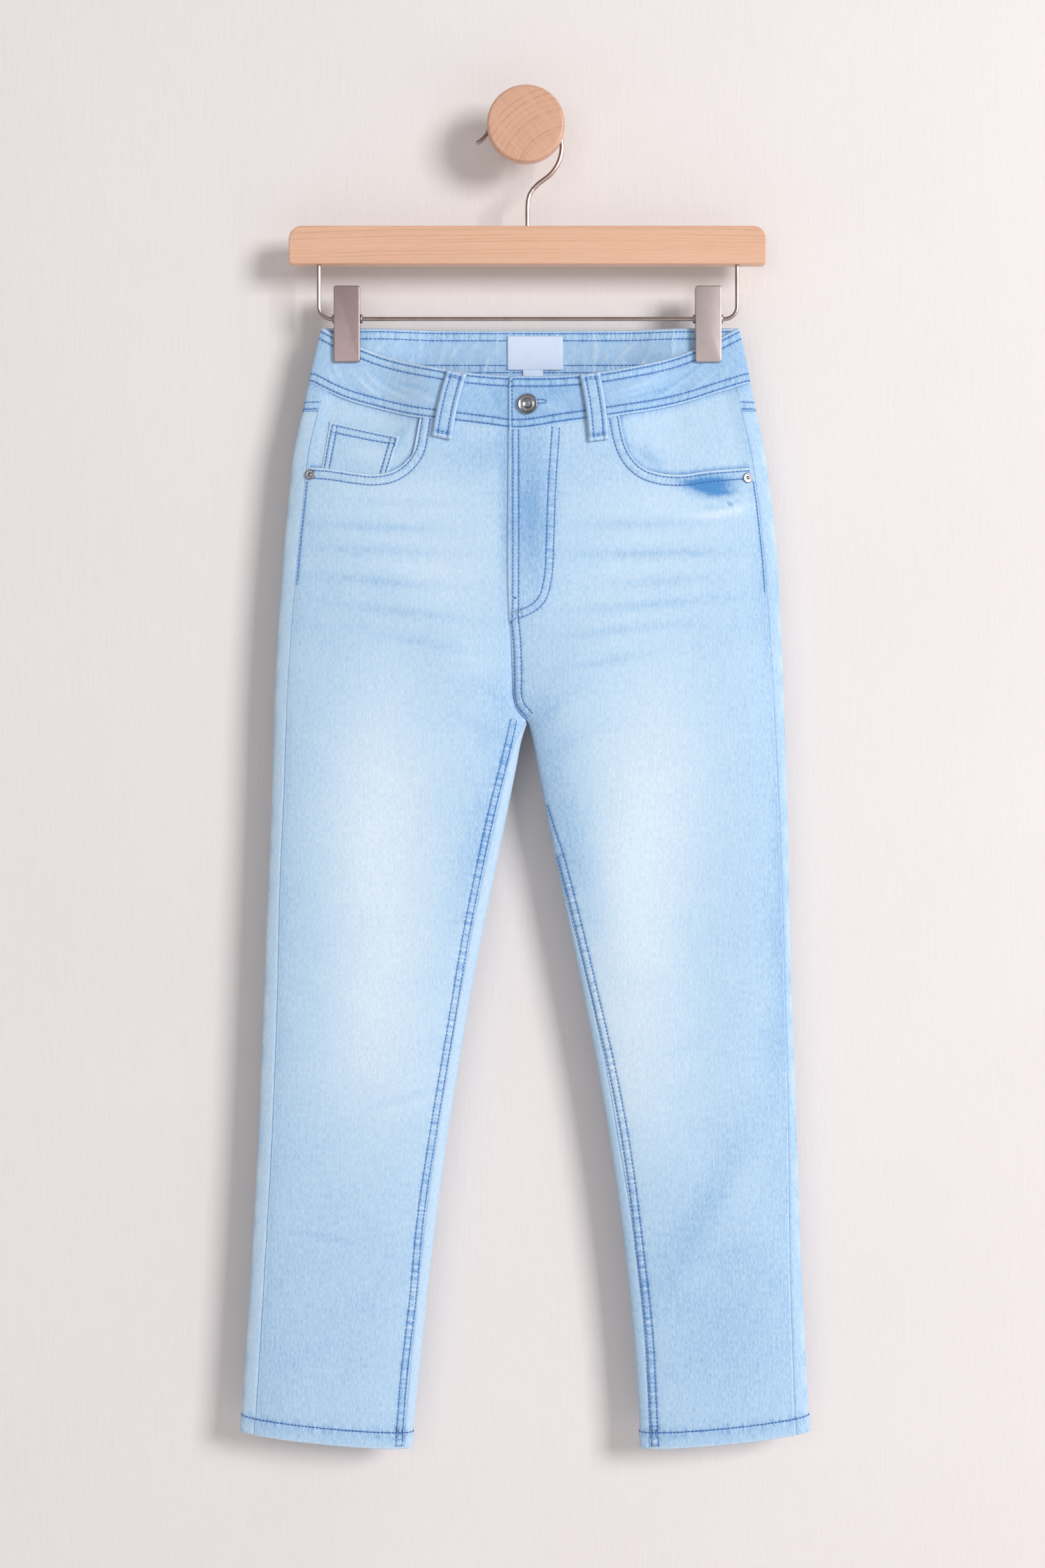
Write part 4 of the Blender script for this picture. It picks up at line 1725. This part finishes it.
BUTTON_RADIUS, RIVET_RADIUS = 8.1 * MM, 4.1 * MM
BUTTON_PLACE = (1.3 * MM, -224.4 * MM)
RIVET_PLACES = {"right": (-173.0 * MM, -279.4 * MM), "left": (178.0 * MM, -282.0 * MM)}
burnished = satin_nickel("burnished_dark_nickel", "#66686F", "#9A9CA4", 0.27)
rivet_nickel = satin_nickel("burnished_nickel", "#7E8086", "#A8AAB0", 0.34)
bright_nickel = satin_nickel("bright_nickel", "#C9CBD0", "#ECEDF0", 0.20)


def beads(name, centre, lean, ring_radius, count, bead, out):
    """A ring of small domes on a face: each is two rings of six points and a top point."""
    at = np.arange(count)[:, None] * 2 * math.pi / count
    around = np.append(np.tile(np.arange(6) * math.pi / 3, 2), 0)
    share = np.repeat([1.0, 0.75, 0.0], [6, 6, 1]) * bead
    height = np.repeat([-0.1, 0.55, 0.8], [6, 6, 1]) * bead
    x = ring_radius * np.cos(at) + share * np.cos(around)
    z = ring_radius * np.sin(at) + share * np.sin(around)
    points = np.stack(np.broadcast_arrays(x, -out - height, z), axis=-1).reshape(-1, 3)
    faces = []
    for first in range(0, len(points), len(share)):
        for i in range(6):
            j, top = (i + 1) % 6, first + 12
            faces.append([first + j, first + 6 + j, first + 6 + i, first + i])
            faces.append([first + 6 + j, top, first + 6 + i])
    place_piece(name, leaned(points, lean, centre), faces, bright_nickel)


def lean_at(x, z, off):
    """How far the cloth is turned from facing the viewer, as an angle about the upright."""
    left, right = (on_face(x + step, z, off) for step in (-2 * MM, 2 * MM))
    return math.atan2(right[1] - left[1], 4 * MM)


x, z = BUTTON_PLACE
seat = on_face(x, z, BAND_PROUD + LAP_RISE + 0.1 * MM)
face = 3.2 * MM
button_profile = [(0, face - 0.9 * MM), (3.4 * MM, face - 0.8 * MM), (4.0 * MM, face - 0.35 * MM)]
button_profile += [(4.4 * MM, face - 0.7 * MM), (6.2 * MM, face - 0.7 * MM)]
button_profile += arc((BUTTON_RADIUS - 0.9 * MM, face - 0.9 * MM), 0.9 * MM, 100, -90, 10)
button_profile += [(2.6 * MM, face - 1.8 * MM), (2.6 * MM, 0), (0, 0)]
lean = lean_at(x, z, BAND_PROUD)
button = turned("waist_button_cap", button_profile, 64, burnished, seat, lean)
stand_for("waist_button")
beads("waist_button_beads", seat, lean, 5.35 * MM, 26, 0.42 * MM, face - 0.7 * MM)
beads("waist_button_inner_beads", seat, lean, 1.7 * MM, 8, 0.55 * MM, face - 0.9 * MM)
for side, (x, z) in RIVET_PLACES.items():
    seat, lean = on_face(x, z, 0.45 * MM), lean_at(x, z, 0.45 * MM)
    profile = [(0, 1.7 * MM), (0.9 * MM, 1.6 * MM), (1.2 * MM, 1.2 * MM), (2.0 * MM, 1.15 * MM)]
    profile += arc((RIVET_RADIUS - 0.8 * MM, 0.7 * MM), 0.8 * MM, 100, -60, 8) + [(0, 0)]
    rivet = turned("rivet_" + side + "_cap", profile, 40, rivet_nickel, seat, lean)
    stand_for("rivet_" + side)
    beads("rivet_" + side + "_dots", seat, lean, 2.5 * MM, 11, 0.48 * MM, 1.15 * MM)

# ---------------------------------------------------------------------------------------------------
# The thread itself: every row that shows, on the panels, band, loops and pockets, the buttonhole and
# the bar tacks. A row is its places and the direction away from the cloth.

# away from the front and from the back, by whether a row lies on the back
AWAY = {False: np.array([0.0, -1.0, 0.0]), True: np.array([0.0, 1.0, 0.0])}
LIFT = 0.12 * MM


def face_row(x, z, off, back=False):
    """A row on the front or back face, with the direction away from it."""
    return on_face(x, z, off, back), AWAY[back]


def on_front(line, side):
    """The places of a row on the front panel, on the cloth's own relief."""
    x, z = line[:, 0], line[:, 1]
    hem = hem_z(np.full(x.shape, 0.5))
    relief = sewn_relief(front_rows[side], x, z)
    if side == "left":
        relief = over_fly(relief, np.abs(x - read(CENTRE, "x", z)), z)
    opening, _ = near(edge_of_pocket(side), x, z, 20 * MM)
    relief += 0.35 * MM * bell(opening, 8 * MM, 4)
    relief += np.where(z < hem + HEM_HEIGHT, HEM_PROUD, 0)
    return on_face(x, z, relief + LIFT)


rows = []
for side in SIGN:
    for line in sewn_rows(front_rows[side]):
        rows.append((on_front(line_through(line / MM, 1.2 * MM), side), AWAY[False]))
thread_mesh("front_topstitching", rows, STITCH_RADIUS, blue_thread)

rows = []
for side in SIGN:
    turns = np.linspace(0.004, 0.996, 260)
    for back in (False, True):
        around = 2 - turns if back else turns
        for row in BAND_ROWS:
            for from_top in (True, False):
                heights, top, seam = band_grid(side, around)
                z = top - row * MM if from_top else seam + row * MM
                off = np.full(z.shape, BAND_PROUD + LIFT - 0.15 * MM)
                x = skin(side, around, z)[..., 0]
                if side == "left" and not back:
                    off += LAP_RISE * bell(np.abs(x - LAP_X), 26 * MM, 4)
                if not back:
                    off += soft_spots(BAND_CREASES, x, z) * MM
                rows.append((skin(side, around, z, off), AWAY[back]))
                if back:
                    within = z if from_top else seam + row * MM + INSIDE_RISE
                    inside = skin(side, around, within, BAND_PROUD - BAND_WALL - 0.12 * MM)
                    rows.append((inside, AWAY[False]))
# the lapped end's own row
z = np.linspace(-205, -242, 30) * MM
rows.append(face_row(LAP_X + 1.4 * MM, z, BAND_PROUD + LAP_RISE))
# the buttonhole: close stitches round a slot with a round eye
HOLE_POINTS = 54
around_hole = np.linspace(0, 2 * math.pi, HOLE_POINTS)
half_height = 1.3 + 0.5 * bell(np.cos(around_hole) + 1, 0.5) + 0.45 * (np.arange(HOLE_POINTS) % 2)
hole_x, hole_z = 12.7 + 4.2 * np.cos(around_hole), -222.1 + half_height * np.sin(around_hole)
rows.append(face_row(hole_x * MM, hole_z * MM, BAND_PROUD + LAP_RISE + 0.2 * MM))
thread_mesh("waistband_topstitching", rows, STITCH_RADIUS * 1.1, blue_thread)

rows = []
for name, (*_, back) in BELT_LOOPS.items():
    down = np.linspace(0.07, 0.93, 40)
    for row in LOOP_ROWS:
        x, z = loop_place(name, row * MM, down)
        rows.append(face_row(x, z, loop_off(down) + LOOP_WALL - 0.1 * MM, back))
    # bar tacks: close zigzags across both ends
    for end in (0.045, 0.075, 0.925, 0.955):
        across = np.linspace(-5.6, 5.6, 16) * MM
        x, z = loop_place(name, across, end)
        rows.append(face_row(x, z, loop_off(end) + LOOP_WALL + 0.5 * MM, back))
for side in SIGN:
    # round the back pockets
    for row in POCKET_ROWS:
        inset_x, inset_z = row / POCKET_ACROSS, row / POCKET_DOWN
        down = np.linspace(0.004, 1 - inset_z, 60)
        bottom = np.linspace(inset_x, 1 - inset_x, 80)
        path = [(inset_x, down), (bottom, 1 - inset_z), (1 - inset_x, down[::-1])]
        x, z = np.concatenate([back_pocket_place(side, *stretch) for stretch in path], axis=1)
        rows.append(face_row(x, z, POCKET_OFF - 0.1 * MM, True))
    for row in (2.0, 14.0):
        x, z = back_pocket_place(side, np.linspace(0.02, 0.98, 80), row / POCKET_DOWN)
        rows.append(face_row(x, z, POCKET_OFF, True))
    for row in YOKE_ROWS:
        columns = np.linspace(0.02, 1.98, 200)
        turns = back_turns(side, YOKE_SIDE_Z, columns)
        z = yoke_seam(turns) + row * MM
        rows.append((skin(side, back_turns(side, z, columns), z, 0.2 * MM), AWAY[True]))
# down the back rise
for row in YOKE_ROWS:
    z = np.linspace(-266, -470, 120) * MM
    rows.append(face_row(read(CENTRE, "x", z) + row * MM, z, LIFT, True))
thread_mesh("loop_and_back_topstitching", rows, STITCH_RADIUS, blue_thread)

rows = []
for row in COIN_ROWS:
    s, r = np.linspace(0.02, 0.98, 40), np.linspace(0.05, 0.97, 24)
    for place in ((s, row / COIN_DEPTH), (1 - row / COIN_WIDTH, r), (row / COIN_WIDTH, r)):
        rows.append(face_row(*coin_place(*place), COIN_OFF + 0.35 * MM))
# bar tacks at the coin pocket, beside the fly's stitching and at its foot
FLY_TACK_OFF = FLY_RISE + 0.5 * MM
TACKS = (
    ((-104.5, -250), (-105.5, -257), COIN_OFF + 0.7 * MM),
    ((-10.4, -378.5), (-7.4, -378.5), FLY_TACK_OFF),
    ((-13, -398), (-10, -397), FLY_TACK_OFF),
)
for start, end, off in TACKS:
    for shift in (0, 0.45, 0.9):
        x, z = (np.linspace(start, end, 8) * MM + np.array([shift * 0.3, -shift]) * MM).T
        rows.append(face_row(x, z, off))
thread_mesh("coin_pocket_topstitching", rows, STITCH_RADIUS, blue_thread)

# Chain stitch round both hems, in a thicker darker thread.
dark_thread = thread("deep_blue_polyester_thread", "#2F61AA")
ABOVE_HEM = -1.04
rows = []
for side in SIGN:
    turns = np.linspace(0.0, 2.0, 620)
    z = hem_z(turns) + HEM_HEIGHT
    x = skin(side, turns, z)[..., 0]
    places = skin(side, turns, z, hem_relief(side, x, z, z - HEM_HEIGHT) + 0.2 * MM)
    # away from the leg's middle: nearly straight forward, or back
    middle_x = (outer_x(side, ABOVE_HEM, 0) + inner_x(side, ABOVE_HEM, 0)) / 2
    away = (places - np.array([middle_x, MIDDLE_Y, 0])) * np.array([0.02, 1, 0])
    rows.append((places, unit(away)))
thread_mesh("hem_chain_stitch", rows, STITCH_RADIUS * 1.35, dark_thread, 2.9 * MM)
